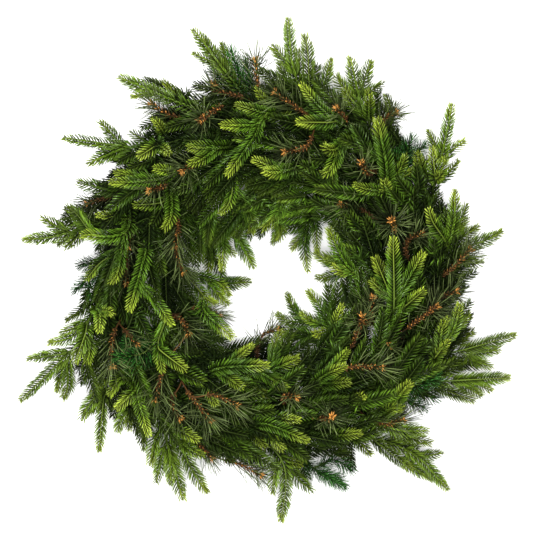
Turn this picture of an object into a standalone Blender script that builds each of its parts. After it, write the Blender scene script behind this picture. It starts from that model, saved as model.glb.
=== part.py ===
"""Pine wreath: a wire ring that carries bunches of moulded evergreen shoots, lying flat, front up.

Metres, +Z up. The middle of the wreath's outline stands over the origin and the ring lies on Z = 0.
All bunches lean the same way round, counter-clockwise as seen from the front.
"""
import math
import random
from collections import namedtuple

import bmesh
import bpy
import numpy as np
from mathutils import Matrix, Vector
from mathutils.bvhtree import BVHTree

# Driving sizes: the outline's width, and the rounded front as a parabola across the ring's band
WREATH_ACROSS = 0.610
DOME_HEIGHT = 0.100
DOME_RADIUS = 0.172
DOME_SPREAD = 0.168
LOWEST_SHOOT = 0.020
FLOOR_CLEARANCE = 0.0015

# Wire ring: two rails and the short ties between them
WIRE_RADIUS = 0.0023
INNER_RAIL = 0.165
OUTER_RAIL = 0.195
RING_SEGMENTS = 30
WIRE_SIDES = 6
WIRE_FLAT = WIRE_RADIUS * math.cos(math.pi / WIRE_SIDES)
TIE_COUNT = 8
TIE_FIRST_CLOCK = 4.0
TIE_RADIUS = 0.0014
TIE_SIDES = 5
TIE_TURN = math.radians(13)
WIRE_COLOUR = (0.02, 0.06, 0.03, 1.0)
WIRE_ROUGHNESS = 0.45

# Cores of the shoots, and how a stem's end hooks over its rail, one corner of it towards the rail
STEM_RADIUS = 0.0016
STEM_TURN = 90.0
END_RADIUS = 0.0011
FORK_RADIUS = 0.0008
STEM_SAG = 0.0012
SEAT_GAP = 0.0003
HOOK_SPLAY = 1.15
HOOK_DROP = 1.05
LEAD_BARE = 0.020
SIDE_BARE = 0.012
FIRST_WHORL_GAP = 0.004
LEAST_EDGE = 0.0001

# Middle lines: how they leave the rail, fork and pass each other
PATH_STEP = 0.004
FORK_FRONT = 0.84
LEAVE_OUT, LEAVE_ROUND, LEAVE_UP = 0.35, 0.8, 0.55
FORK_BACK = 0.016
FORK_TURN_COST = 0.025
FORK_FADE = 4
CORE_CLEARANCE = 0.0062
SETTLE_ROUNDS = 130
ROUNDS_PER_SEARCH = 12
SMOOTHING = 0.3
PUSH_WEIGHTS = np.array((0.35, 0.35, 1.0))
ROOT_FREEDOM = (0, 0, 0.2, 0.5, 0.8)

# Needles. The last table is how each may be bent to pass the others: more lean and more swing,
# in degrees, tried in this order
WHORL_TURN = 47.0
NEEDLE_RADIUS = 0.0011
NEEDLE_TAPER = 0.6
OWN_NEEDLE_RADIUS = 0.0007
OWN_CORE_RADIUS = 0.0012
OWN_SHARE = 0.3
ROOT_SHARE = 0.06
NEEDLE_SWING = 12
LEAST_LEAN = 16
SHORTEST_DRAW = 0.92
NEEDLE_BENDS = ((0, 0), (-12, 0), (0, 20), (0, -20), (14, 0), (-12, 32), (-12, -32), (24, 0), (10, 36), (10, -36))

# Marks that tell whose a bar is, and the first of the seeds for the random draws
RING_OWNER = -1
OWN_CORE = -2
OWN_NEEDLES = -3
MOST_SHOOTS = 20
MOST_PASSES = 20
FIRST_SEED = 1000

# Reading of the photograph, in its 533 by 533 pixel frame
CENTRE_PIXEL = (270, 272)
PIXELS_ACROSS = 508
EYE_HEIGHT = 2.0
SCALE_HEIGHT = 0.050
PIXEL = WREATH_ACROSS / PIXELS_ACROSS

# What grows on a shoot: needle length, lean from the shoot's axis in degrees, distance between
# whorls, a whorl's own length along the shoot, the length of shoot that bears needles, and the
# length of the point that ends it
Foliage = namedtuple("Foliage", "length lean spread pitch whorl leafy point colour roughness")
SPRUCE = Foliage(0.0135, 46, 8, 0.0235, 0.0022, 0.064, 0.0075, (0.085, 0.20, 0.035, 1.0), 0.55)
FIR = Foliage(0.0165, 58, 8, 0.0180, 0.0022, 0.062, 0.0075, (0.025, 0.085, 0.055, 1.0), 0.60)
PINE = Foliage(0.0390, 36, 16, 0.0088, 0.0020, 0.0265, 0.0040, (0.055, 0.090, 0.050, 1.0), 0.65)

Bunch = namedtuple("Bunch", "name foliage clock rail shoots")
Ring = namedtuple("Ring", "centre tangent side up turn radius bears")
Core = namedtuple("Core", "rings point")

# A bunch hangs on a rail at a clock angle, in degrees counter-clockwise from the right as seen.
# Each of its shoots is (fork x, fork y, end x, end y, front): where it shows in the photograph,
# and how near it is to the wreath's front, from 0 at the back to 1 on the dome.
SPRUCE_BUNCHES = (
    (118, OUTER_RAIL, ((135, 147, 63, 138, 0.70), (122, 145, 100, 121, 0.62), (125, 148, 87, 164, 0.72),
                       (155, 146, 138, 157, 0.95), (187, 150, 165, 154, 0.98), (175, 135, 152, 118, 0.85),
                       (150, 143, 130, 132, 0.55))),
    (103, OUTER_RAIL, ((180, 103, 119, 77, 0.80), (150, 90, 131, 97, 0.70), (178, 98, 164, 80, 0.60))),
    (127, INNER_RAIL, ((140, 182, 110, 182, 0.95), (140, 178, 115, 172, 0.80), (115, 190, 77, 182, 0.60),
                       (168, 172, 154, 168, 0.90), (190, 205, 164, 228, 0.95), (160, 203, 134, 205, 0.75))),
    (92, OUTER_RAIL, ((228, 75, 193, 29, 0.75), (217, 60, 205, 37, 0.65), (225, 70, 193, 53, 0.60),
                      (230, 75, 222, 42, 0.60))),
    (77, OUTER_RAIL, ((262, 112, 236, 104, 0.95), (272, 115, 256, 88, 0.75), (255, 125, 221, 125, 0.90),
                      (255, 135, 227, 175, 1.00), (290, 125, 285, 113, 0.70))),
    (96, INNER_RAIL, ((215, 148, 188, 147, 0.85), (215, 165, 188, 163, 0.95), (250, 195, 220, 213, 0.95),
                      (262, 210, 251, 232, 0.75))),
    (66, INNER_RAIL, ((282, 170, 253, 159, 0.95), (290, 182, 264, 170, 0.98), (310, 205, 262, 228, 0.80),
                      (290, 222, 272, 244, 0.60), (298, 222, 278, 240, 0.70))),
    (52, INNER_RAIL, ((305, 240, 308, 272, 0.75), (302, 238, 291, 249, 0.60), (316, 225, 317, 250, 0.65))),
    (47, OUTER_RAIL, ((318, 105, 301, 84, 1.00), (328, 122, 297, 122, 0.90), (348, 175, 324, 145, 0.98),
                      (347, 177, 322, 173, 0.85), (345, 200, 325, 202, 0.60))),
    (62, OUTER_RAIL, ((295, 75, 288, 18, 0.75), (292, 70, 272, 45, 0.65),
                      (290, 85, 278, 62, 0.60), (325, 85, 304, 34, 0.80), (300, 75, 299, 50, 0.60),
                      (325, 82, 331, 58, 0.65))),
    (42, OUTER_RAIL, ((358, 95, 350, 57, 0.80), (362, 90, 371, 60, 0.65), (338, 98, 337, 74, 0.65),
                      (350, 115, 345, 88, 0.75), (374, 120, 368, 90, 0.90), (372, 98, 384, 82, 0.60),
                      (392, 118, 386, 95, 0.55))),
    (21, INNER_RAIL, ((385, 160, 377, 119, 1.00), (390, 215, 384, 180, 0.85), (385, 205, 354, 184, 0.95),
                      (402, 185, 405, 155, 0.80), (418, 185, 415, 165, 0.70), (407, 210, 412, 188, 0.65))),
    (15, OUTER_RAIL, ((445, 140, 452, 104, 0.80), (437, 150, 428, 130, 0.65), (445, 155, 465, 141, 0.65),
                      (447, 175, 459, 160, 0.60), (435, 175, 432, 148, 0.90), (422, 172, 417, 152, 0.65),
                      (440, 183, 445, 157, 0.85), (440, 200, 440, 172, 0.95))),
    (-5, OUTER_RAIL, ((453, 225, 455, 190, 0.95), (430, 245, 429, 208, 0.98), (460, 222, 467, 204, 0.60),
                      (458, 230, 468, 218, 0.55), (460, 238, 479, 226, 0.60), (455, 268, 502, 231, 0.80),
                      (468, 270, 483, 262, 0.65))),
    (-27, INNER_RAIL, ((394, 300, 393, 238, 1.05), (405, 285, 423, 253, 0.95), (392, 300, 375, 258, 0.90),
                       (392, 304, 371, 280, 0.80), (400, 310, 424, 290, 0.85))),
    (-37, OUTER_RAIL, ((470, 348, 516, 335, 0.80), (475, 352, 500, 350, 0.65), (470, 358, 492, 367, 0.60),
                       (450, 345, 468, 340, 0.45), (436, 356, 448, 340, 0.90), (455, 325, 460, 303, 0.95),
                       (420, 340, 448, 318, 0.95), (458, 322, 470, 315, 0.70), (455, 330, 475, 332, 0.60))),
    (-47, OUTER_RAIL, ((465, 380, 510, 378, 0.85), (475, 383, 492, 391, 0.60), (460, 383, 482, 396, 0.60),
                       (445, 390, 475, 401, 0.55))),
    (-61, OUTER_RAIL, ((400, 430, 428, 431, 0.85), (400, 434, 431, 443, 0.65), (385, 400, 402, 409, 0.80),
                       (385, 398, 411, 383, 0.95), (350, 398, 365, 395, 0.80))),
    (-77, OUTER_RAIL, ((415, 455, 448, 490, 0.75), (410, 465, 433, 480, 0.60), (420, 456, 443, 453, 0.65),
                       (380, 445, 412, 470, 0.60), (340, 435, 361, 433, 0.90), (355, 438, 371, 455, 0.65))),
    (-80, INNER_RAIL, ((325, 375, 346, 365, 0.95), (330, 383, 350, 382, 0.75), (335, 365, 348, 350, 0.85))),
    (-101, OUTER_RAIL, ((285, 470, 281, 522, 0.80), (275, 470, 272, 493, 0.85), (285, 460, 302, 465, 0.65),
                        (298, 478, 313, 492, 0.55))),
    (-109, OUTER_RAIL, ((270, 425, 308, 441, 0.95), (275, 418, 300, 420, 0.80), (262, 425, 283, 450, 0.80),
                        (250, 425, 265, 448, 0.65))),
    (-129, INNER_RAIL, ((225, 367, 268, 365, 1.00), (220, 372, 243, 388, 0.85), (205, 380, 216, 405, 0.75),
                        (265, 375, 287, 388, 0.70), (255, 382, 268, 397, 0.60), (270, 370, 298, 358, 0.90),
                        (265, 345, 283, 332, 0.75), (240, 355, 252, 345, 0.85))),
    (-133, OUTER_RAIL, ((190, 465, 207, 493, 0.85), (178, 448, 204, 456, 0.80), (180, 430, 198, 440, 0.85))),
    (-140, OUTER_RAIL, ((175, 470, 183, 500, 0.80), (172, 455, 170, 485, 0.85), (162, 455, 156, 483, 0.65),
                        (155, 440, 150, 465, 0.65), (142, 430, 144, 450, 0.50))),
    (-151, OUTER_RAIL, ((140, 405, 149, 435, 0.90), (130, 408, 129, 430, 0.65), (118, 408, 118, 432, 0.60),
                        (130, 395, 116, 408, 0.85), (118, 380, 110, 395, 0.90))),
    (-161, OUTER_RAIL, ((103, 405, 99, 452, 0.75), (103, 398, 86, 415, 0.45), (85, 385, 82, 421, 0.85),
                        (95, 375, 95, 393, 0.70))),
    (-170, OUTER_RAIL, ((60, 362, 20, 401, 0.75), (80, 382, 63, 398, 0.50), (62, 370, 57, 393, 0.60),
                        (65, 353, 27, 359, 0.70))),
    (177, OUTER_RAIL, ((75, 335, 48, 343, 0.70), (85, 322, 60, 333, 0.75), (100, 300, 66, 320, 0.45),
                       (85, 335, 75, 362, 0.85), (90, 345, 88, 363, 0.75), (100, 315, 99, 332, 0.95),
                       (115, 290, 112, 316, 0.90))),
    (168, INNER_RAIL, ((145, 255, 129, 310, 1.00), (155, 300, 172, 325, 0.90), (158, 345, 162, 372, 0.85),
                       (160, 350, 186, 370, 0.95))),
    (153, OUTER_RAIL, ((60, 235, 22, 240, 0.75), (60, 228, 41, 217, 0.60),
                       (66, 228, 58, 246, 0.55), (90, 235, 65, 247, 0.70))),
    (147, OUTER_RAIL, ((120, 235, 82, 235, 0.85), (90, 215, 65, 207, 0.50), (125, 213, 97, 215, 0.80),
                       (140, 262, 110, 283, 0.85), (98, 265, 86, 280, 0.75))),
    (132, INNER_RAIL, ((222, 240, 222, 270, 0.90), (225, 245, 235, 256, 0.60), (235, 235, 254, 268, 0.70),
                       (210, 250, 208, 275, 0.50))),
    (-12, INNER_RAIL, ((346, 264, 328, 228, 0.95), (342, 264, 325, 258, 0.70), (330, 275, 315, 252, 0.85),
                      (338, 285, 333, 265, 0.90), (332, 288, 315, 276, 0.60))),
    (-56, INNER_RAIL, ((322, 310, 308, 290, 0.75), (335, 325, 342, 305, 0.90), (290, 335, 277, 313, 0.65),
                       (298, 322, 287, 292, 0.65), (312, 330, 302, 312, 0.70), (303, 345, 315, 331, 0.85))),
    (174, INNER_RAIL, ((222, 285, 230, 296, 0.85), (232, 283, 251, 282, 0.65), (215, 290, 228, 304, 0.70),
                       (195, 300, 217, 303, 0.75), (205, 312, 233, 338, 0.90))),
)

FIR_BUNCHES = (
    (86, OUTER_RAIL, ((242, 80, 231, 50, 0.55), (236, 86, 212, 72, 0.50), (252, 88, 246, 62, 0.50))),
    (27, OUTER_RAIL, ((404, 160, 412, 138, 0.75), (400, 172, 395, 153, 0.70), (408, 160, 424, 146, 0.55))),
    (-51, INNER_RAIL, ((415, 385, 438, 377, 0.70), (410, 392, 437, 398, 0.50), (405, 400, 425, 408, 0.50),
                       (395, 365, 420, 365, 0.60))),
    (-89, OUTER_RAIL, ((315, 470, 340, 484, 0.55), (335, 460, 352, 470, 0.55), (330, 465, 344, 486, 0.45))),
    (-172, INNER_RAIL, ((145, 352, 117, 357, 0.90), (148, 345, 126, 342, 0.70), (150, 356, 130, 370, 0.70))),
    (162, OUTER_RAIL, ((95, 272, 75, 290, 0.55), (98, 262, 80, 265, 0.50), (100, 275, 92, 296, 0.50))),
)

PINE_BUNCHES = (
    (109, OUTER_RAIL, ((170, 115, 150, 103, 0.75), (219, 107, 199, 121, 0.90))),
    (84, INNER_RAIL, ((259, 88, 255, 59, 0.70), (202, 92, 214, 84, 0.70))),
    (56, OUTER_RAIL, ((300, 110, 274, 92, 0.85), (345, 118, 335, 108, 0.80), (304, 148, 284, 152, 0.90))),
    (36, OUTER_RAIL, ((385, 118, 397, 112, 0.65), (366, 172, 361, 162, 0.85))),
    (117, INNER_RAIL, ((115, 195, 86, 204, 0.45), (162, 186, 149, 191, 0.80), (192, 165, 182, 172, 0.85))),
    (142, INNER_RAIL, ((178, 227, 175, 247, 0.90), (178, 258, 184, 273, 0.80), (131, 236, 127, 248, 0.60),
                       (127, 272, 127, 284, 0.60))),
    (9, INNER_RAIL, ((393, 224, 391, 220, 1.00), (352, 206, 340, 204, 0.70))),
    (-14, OUTER_RAIL, ((408, 240, 423, 233, 0.75), (454, 267, 471, 249, 0.80))),
    (-22, OUTER_RAIL, ((443, 296, 457, 291, 0.70), (402, 332, 438, 305, 0.85), (378, 350, 390, 345, 0.65))),
    (-36, INNER_RAIL, ((371, 310, 373, 297, 0.80), (352, 346, 362, 315, 0.95))),
    (-66, INNER_RAIL, ((350, 367, 383, 367, 0.90), (387, 424, 404, 419, 0.75))),
    (-97, INNER_RAIL, ((329, 419, 332, 416, 1.00), (286, 396, 297, 397, 0.85), (262, 336, 278, 328, 0.60))),
    (-178, INNER_RAIL, ((112, 342, 113, 367, 0.85), (125, 330, 138, 346, 0.75))),
    (-165, INNER_RAIL, ((183, 322, 189, 335, 0.85), (164, 366, 155, 401, 0.80), (206, 308, 220, 316, 0.60))),
    (-145, INNER_RAIL, ((191, 396, 212, 421, 0.85), (215, 395, 238, 406, 0.85), (172, 404, 181, 419, 0.75))),
    (-121, OUTER_RAIL, ((200, 445, 213, 459, 0.70), (239, 464, 262, 475, 0.70))),
)


def bunches():
    """Every bunch of the wreath, named by its foliage and its place in the table."""
    found = []
    for label, foliage, rows in (("spruce", SPRUCE, SPRUCE_BUNCHES), ("fir", FIR, FIR_BUNCHES),
                                 ("pine", PINE, PINE_BUNCHES)):
        for number, (clock, rail, shoots) in enumerate(rows, start=1):
            found.append(Bunch(f"{label}_bunch_{number:02d}", foliage, clock, rail, shoots))
    return found


def place(x, y, height):
    """Where a thing at this height stands, in metres from the ring's middle, to show at a pixel."""
    nearness = (EYE_HEIGHT - height) / (EYE_HEIGHT - SCALE_HEIGHT)
    across = (x - CENTRE_PIXEL[0]) * PIXEL * nearness
    up = (CENTRE_PIXEL[1] - y) * PIXEL * nearness
    return np.array((across, up, height))


def dome(x, y):
    """Height of the wreath's rounded front over a pixel: a parabola across the ring's band."""
    radius = PIXEL * math.hypot(x - CENTRE_PIXEL[0], y - CENTRE_PIXEL[1])
    return DOME_HEIGHT * (1 - ((radius - DOME_RADIUS) / DOME_SPREAD) ** 2)


def unit(vector):
    """The same direction at length one."""
    return vector / max(np.linalg.norm(vector), 1e-9)


def arc(start, start_way, end, end_way):
    """A cubic from start to end that leaves and arrives along two directions."""
    reach = np.linalg.norm(end - start)
    t = np.linspace(0, 1, 24)[:, None]
    a, b = start_way * reach, end_way * reach
    return ((2 * t**3 - 3 * t**2 + 1) * start + (t**3 - 2 * t**2 + t) * a
            + (3 * t**2 - 2 * t**3) * end + (t**3 - t**2) * b)


def even(points, step=PATH_STEP):
    """The same line with its points an even distance apart."""
    lengths = np.linalg.norm(np.diff(points, axis=0), axis=1)
    along = np.concatenate(([0], np.cumsum(lengths)))
    count = max(3, int(round(along[-1] / step)) + 1)
    wanted = np.linspace(0, along[-1], count)
    return np.stack([np.interp(wanted, along, points[:, k]) for k in range(3)], axis=1)


def root_place(bunch):
    """Top of the rail where the bunch's stem crosses it, with the way off it and the way round.

    A rail is a ring of straight runs, so between its corners it lies a little nearer the middle.
    """
    angle = math.radians(bunch.clock)
    out = np.array((math.cos(angle), math.sin(angle), 0))
    around = np.array((-math.sin(angle), math.cos(angle), 0))
    half_run = math.pi / RING_SEGMENTS
    from_corner = angle % (2 * half_run)
    radius = bunch.rail * math.cos(half_run) / math.cos(from_corner - half_run)
    top = out * radius + np.array((0, 0, 2 * WIRE_FLAT + SEAT_GAP + STEM_RADIUS))
    side = 1 if bunch.rail == OUTER_RAIL else -1
    return top, out * side, around


def fork_and_end(shoot):
    """The two places that a shoot passes: where it leaves the bunch and where it ends."""
    fork_x, fork_y, end_x, end_y, front = shoot
    fork_height = max(FORK_FRONT * front * dome(fork_x, fork_y), LOWEST_SHOOT)
    end_height = max(front * dome(end_x, end_y), LOWEST_SHOOT)
    return place(fork_x, fork_y, fork_height), place(end_x, end_y, end_height)


def grow(bunch):
    """The middle lines of a bunch: the first from the rail, each other from the nearest before it."""
    top, out, around = root_place(bunch)
    lines = []
    joints = []
    for number, shoot in enumerate(bunch.shoots):
        fork, end = fork_and_end(shoot)
        way = unit(end - fork)
        if number == 0:
            leave = unit(LEAVE_OUT * out + LEAVE_ROUND * around + np.array((0, 0, LEAVE_UP)))
            turn = unit(unit(end - top) + way)
            line = np.concatenate((arc(top, leave, fork, turn), arc(fork, turn, end, way)[1:]))
            joints.append((0, 0))
        else:
            parent, at = best_fork(lines, fork - way * FORK_BACK, end)
            start = lines[parent][at]
            along = unit(lines[parent][at + 1] - lines[parent][at - 1])
            ahead = np.dot(unit(fork - start), way) > 0.5
            if ahead and np.linalg.norm(fork - start) > FORK_BACK / 2:
                turn = unit(unit(end - start) + way)
                line = np.concatenate((arc(start, unit(along + unit(fork - start)), fork, turn),
                                       arc(fork, turn, end, way)[1:]))
            else:
                line = arc(start, unit(along + unit(end - start)), end, way)
            joints.append((parent, at))
        lines.append(even(line))
    return lines, joints


def best_fork(lines, behind, end):
    """Which line a shoot leaves, and where: near the place behind it, and at a forward angle."""
    choices = []
    for index, line in enumerate(lines):
        inner = slice(2, len(line) - 2)
        ways = np.gradient(line, axis=0)[inner]
        ways /= np.linalg.norm(ways, axis=1)[:, None]
        onward = end - line[inner]
        onward /= np.linalg.norm(onward, axis=1)[:, None]
        cost = np.linalg.norm(line[inner] - behind, axis=1)
        cost += FORK_TURN_COST * (1 - np.einsum("ij,ij->i", ways, onward))
        choices.append((cost.min(), index, int(np.argmin(cost)) + 2))
    _, parent, at = min(choices)
    return parent, at


def settle(all_lines, all_joints):
    """Push the middle lines of different bunches apart until they pass clear of each other.

    Neighbours push each other mostly up and down. A push fades evenly along a shoot, a root on
    its rail stays, and a fork moves with the line that it leaves.
    """
    places = np.concatenate([line for lines in all_lines for line in lines])
    owner = np.concatenate([np.full(len(line), number)
                            for number, lines in enumerate(all_lines) for line in lines])
    spans = {}
    cursor = 0
    for number, lines in enumerate(all_lines):
        for index, line in enumerate(lines):
            spans[number, index] = slice(cursor, cursor + len(line))
            cursor += len(line)
    free = np.ones(len(places))
    for number in range(len(all_lines)):
        first = spans[number, 0].start
        free[first:first + len(ROOT_FREEDOM)] = ROOT_FREEDOM
    moved = np.zeros_like(places)
    for turn in range(SETTLE_ROUNDS):
        now = places + moved
        if turn % ROUNDS_PER_SEARCH == 0:
            one, two = close_pairs(now, owner, 2.5 * CORE_CLEARANCE)
        apart = now[one] - now[two]
        short = np.maximum(CORE_CLEARANCE - np.linalg.norm(apart, axis=1), 0)
        apart *= PUSH_WEIGHTS
        apart[:, 2] += np.where(apart[:, 2] >= 0, 1e-5, -1e-5)
        push = apart / np.linalg.norm(apart, axis=1)[:, None] * short[:, None]
        share = free[one] / np.maximum(free[one] + free[two], 1e-6)
        total = np.zeros_like(places)
        count = np.full(len(places), 1e-6)
        np.add.at(total, one, push * share[:, None])
        np.add.at(total, two, -push * (1 - share)[:, None])
        np.add.at(count, one, short > 0)
        np.add.at(count, two, short > 0)
        moved += total / count[:, None]
        for (number, index), span in spans.items():
            if index:
                parent, at = all_joints[number][index]
                moved[span.start] = moved[spans[number, parent].start + at]
            row = moved[span]
            row[1:-1] += SMOOTHING * free[span][1:-1, None] * (row[:-2] + row[2:] - 2 * row[1:-1])
        lowest = np.where(free == 1, LOWEST_SHOOT, 0)
        moved[:, 2] = np.maximum(moved[:, 2], lowest - places[:, 2])
    places += moved
    return [[places[spans[number, index]] for index in range(len(lines))]
            for number, lines in enumerate(all_lines)]


def close_pairs(places, owner, reach):
    """Indices of the pairs of places of different bunches that are nearer than a reach."""
    ones, twos = [], []
    for first in range(0, len(places), 256):
        block = slice(first, first + 256)
        gaps = np.linalg.norm(places[block, None] - places[None], axis=2)
        near = (gaps < reach) & (owner[block, None] < owner[None])
        one, two = np.nonzero(near)
        ones.append(one + first)
        twos.append(two)
    return np.concatenate(ones), np.concatenate(twos)


def transport(line):
    """A tangent and two crosswise directions at each point, carried along without twist."""
    tangents = np.gradient(line, axis=0)
    tangents /= np.linalg.norm(tangents, axis=1)[:, None]
    side = unit(np.cross(tangents[0], (0.0, 0.0, 1.0)) + np.array((1e-6, 0, 0)))
    sides = []
    for tangent in tangents:
        side = unit(side - tangent * np.dot(side, tangent))
        sides.append(side)
    sides = np.array(sides)
    return tangents, sides, np.cross(tangents, sides)


class Obstacles:
    """Round bars that needles keep clear of: ends, radius and the bunch that each belongs to."""

    def __init__(self):
        self.starts, self.ends, self.radii, self.owners = [], [], [], []
        self.packed = None

    def add(self, start, end, radius, owner):
        self.starts.append(start)
        self.ends.append(end)
        self.radii.append(radius)
        self.owners.append(owner)
        self.packed = None

    def clear(self, start, end, radius, owner):
        """True where a bar from start to end stays a seat's gap away from every other bunch's."""
        if self.packed is None:
            self.packed = tuple(np.array(part) for part in
                                (self.starts, self.ends, self.radii, self.owners))
        starts, ends, radii, owners = self.packed
        middle = (start + end) / 2
        reach = np.linalg.norm(end - start) / 2 + radius + SEAT_GAP
        middles = (starts + ends) / 2
        halves = np.linalg.norm(ends - starts, axis=1) / 2
        near = np.linalg.norm(middles - middle, axis=1) < reach + halves + radii
        near &= owners != owner
        if not near.any():
            return True
        gaps = bar_gaps(start, end, starts[near], ends[near])
        return bool((gaps > radius + radii[near] + SEAT_GAP).all())


def bar_gaps(start, end, starts, ends):
    """Smallest distance from one straight line to each of several, by the usual clamped formula."""
    way = end - start
    ways = ends - starts
    offset = start - starts
    a = np.dot(way, way)
    e = np.einsum("ij,ij->i", ways, ways)
    f = np.einsum("ij,ij->i", ways, offset)
    c = offset @ way
    b = ways @ way
    spread = a * e - b * b
    s = np.where(spread > 1e-12, np.clip((b * f - c * e) / np.maximum(spread, 1e-12), 0, 1), 0.5)
    t = np.clip((b * s + f) / np.maximum(e, 1e-12), 0, 1)
    s = np.clip((b * t - c) / max(a, 1e-12), 0, 1)
    gaps = (start + s[:, None] * way) - (starts + t[:, None] * ways)
    return np.linalg.norm(gaps, axis=1)


def needle_is_clear(obstacles, own, foot, point, owner):
    """A needle tapers, so its two halves are tested as bars of their own against other shoots.
    Against its own shoot only its outer part is, since all of the shoot's needles meet at the core."""
    if point[2] < FLOOR_CLEARANCE:
        return False
    middle = (foot + point) / 2
    root, leaving = foot + ROOT_SHARE * (point - foot), foot + OWN_SHARE * (point - foot)
    return (own.clear(leaving, point, OWN_NEEDLE_RADIUS, None)
            and own.clear(root, leaving, OWN_NEEDLE_RADIUS, OWN_CORE)
            and obstacles.clear(foot, middle, NEEDLE_RADIUS, owner)
            and obstacles.clear(middle, point, NEEDLE_RADIUS * NEEDLE_TAPER, owner))


def choose_point(obstacles, own, foot, axes, foliage, owner, draw):
    """Where a needle ends: leaning as drawn, or bent clear of the others; None where it can't be."""
    tangent, outward, crosswise = axes
    lean = foliage.lean + draw.uniform(-foliage.spread, foliage.spread)
    swing = draw.uniform(-NEEDLE_SWING, NEEDLE_SWING)
    length = foliage.length * draw.uniform(SHORTEST_DRAW, 1.0)
    for more_lean, more_swing in NEEDLE_BENDS:
        tilt = math.radians(max(lean + more_lean, LEAST_LEAN))
        turn = math.radians(swing + more_swing)
        across = math.cos(turn) * outward + math.sin(turn) * crosswise
        point = foot + length * (math.cos(tilt) * tangent + math.sin(tilt) * across)
        if needle_is_clear(obstacles, own, foot, point, owner):
            return point
    return None


def bare_places(line, lengths, until):
    """Distances along a bare stem at which its core needs a ring, for the straight runs between
    them to stay within STEM_SAG of the line."""
    places = [0.0]
    first = 0
    for index in range(2, len(line)):
        if lengths[index] > until:
            break
        chord = unit(line[index] - line[first])
        offsets = line[first:index] - line[first]
        sag = np.linalg.norm(offsets - np.outer(offsets @ chord, chord), axis=1).max()
        if sag > STEM_SAG:
            first = index - 1
            places.append(lengths[first])
    if until - places[-1] < min(FIRST_WHORL_GAP, until / 2):
        places.pop()
    return places or [0.0]


def core_rings(bunch, line, is_lead, draw):
    """The rings of a shoot's core, from root to end, with the whorls marked that bear needles."""
    foliage = bunch.foliage
    lengths = np.concatenate(([0], np.cumsum(np.linalg.norm(np.diff(line, axis=0), axis=1))))
    total = lengths[-1] - foliage.point
    bare = max(total - foliage.leafy, LEAD_BARE if is_lead else SIDE_BARE)
    bare = min(bare, total - 5 * foliage.whorl)
    turn = STEM_TURN if is_lead else draw.uniform(0, 120)
    marks = [(along, turn, False) for along in bare_places(line, lengths, bare)]
    last = total - foliage.whorl * 0.8
    count = max(1, int(round((last - bare) / foliage.pitch)))
    pitch = (last - bare) / count
    for number in range(count):
        turn += WHORL_TURN
        middle = bare + pitch * (number + 0.5)
        marks.append((middle - foliage.whorl / 2, turn, True))
        marks.append((middle + foliage.whorl / 2, turn, False))
    marks.append((total, turn, False))
    axes = transport(line)
    rings = []
    for along, turn, bears in marks:
        centre, tangent, side, up = (np.array([np.interp(along, lengths, part[:, k]) for k in range(3)])
                                     for part in (line, *axes))
        radius = STEM_RADIUS + (END_RADIUS - STEM_RADIUS) * along / total
        if along == 0 and not is_lead:
            radius = FORK_RADIUS
        rings.append(Ring(centre, unit(tangent), unit(side), unit(up), turn, radius, bears))
    if is_lead:
        rings = hook_rings(bunch, rings[0]) + rings
    return rings


def hook_rings(bunch, first):
    """The stem's end goes over the rail and down beside it, between the two rails."""
    top, out, _ = root_place(bunch)
    clear = WIRE_RADIUS + SEAT_GAP + STEM_RADIUS
    up = np.array((0.0, 0.0, 1.0))
    bend = Ring(top - clear * out, *carried(first, unit(up + out)), first.turn, STEM_RADIUS, False)
    low_place = top - clear * (HOOK_SPLAY * out + HOOK_DROP * up)
    low = Ring(low_place, *carried(bend, up), first.turn, STEM_RADIUS, False)
    return [low, bend]


def carried(ring, tangent):
    """A ring's axes turned to another tangent without twist."""
    side = unit(ring.side - tangent * np.dot(ring.side, tangent))
    return tangent, side, np.cross(tangent, side)


def nearest_on(rings, point):
    """The nearest place to a point on the straight runs between the rings' middles."""
    best, found = 1.0, point
    for low, high in zip(rings[:-1], rings[1:]):
        way = high.centre - low.centre
        share = np.clip(np.dot(point - low.centre, way) / np.dot(way, way), 0, 1)
        foot = low.centre + share * way
        distance = np.linalg.norm(point - foot)
        if distance < best:
            best, found = distance, foot
    return found


def frame_bunch(bunch, lines, joints, draw):
    """Rings of each of the bunch's cores; a fork starts inside the core that it leaves."""
    cores = []
    for index, line in enumerate(lines):
        if index:
            parent = joints[index][0]
            fade = np.maximum(0, 1 - np.arange(len(line)) / FORK_FADE)[:, None]
            line = line + fade * (nearest_on(cores[parent].rings, line[0]) - line[0])
        rings = core_rings(bunch, line, index == 0, draw)
        cores.append(Core(rings, line[-1]))
    return cores


def shoot_mesh(core, foliage, obstacles, owner, draw):
    """A three-sided core through the rings, with needles raised from its faces at every whorl."""
    mesh = bmesh.new()
    rings = core.rings
    own = Obstacles()
    for low, high in zip(rings[:-1], rings[1:]):
        own.add(low.centre, high.centre, OWN_CORE_RADIUS, OWN_CORE)
    own.add(rings[-1].centre, core.point, OWN_NEEDLE_RADIUS, OWN_CORE)
    corners = [ring_corners(mesh, ring) for ring in rings]
    mesh.faces.new(list(reversed(corners[0])))
    for ring, low, high in zip(rings, corners[:-1], corners[1:]):
        for k in range(3):
            face = mesh.faces.new((low[k], low[(k + 1) % 3], high[(k + 1) % 3], high[k]))
            if ring.bears:
                raise_needle(mesh, face, ring.tangent, foliage, obstacles, own, owner, draw)
    raise_to(mesh, mesh.faces.new(corners[-1]), core.point)
    bmesh.ops.triangulate(mesh, faces=mesh.faces[:])
    drop_crossing_needles(mesh)
    return mesh


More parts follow.
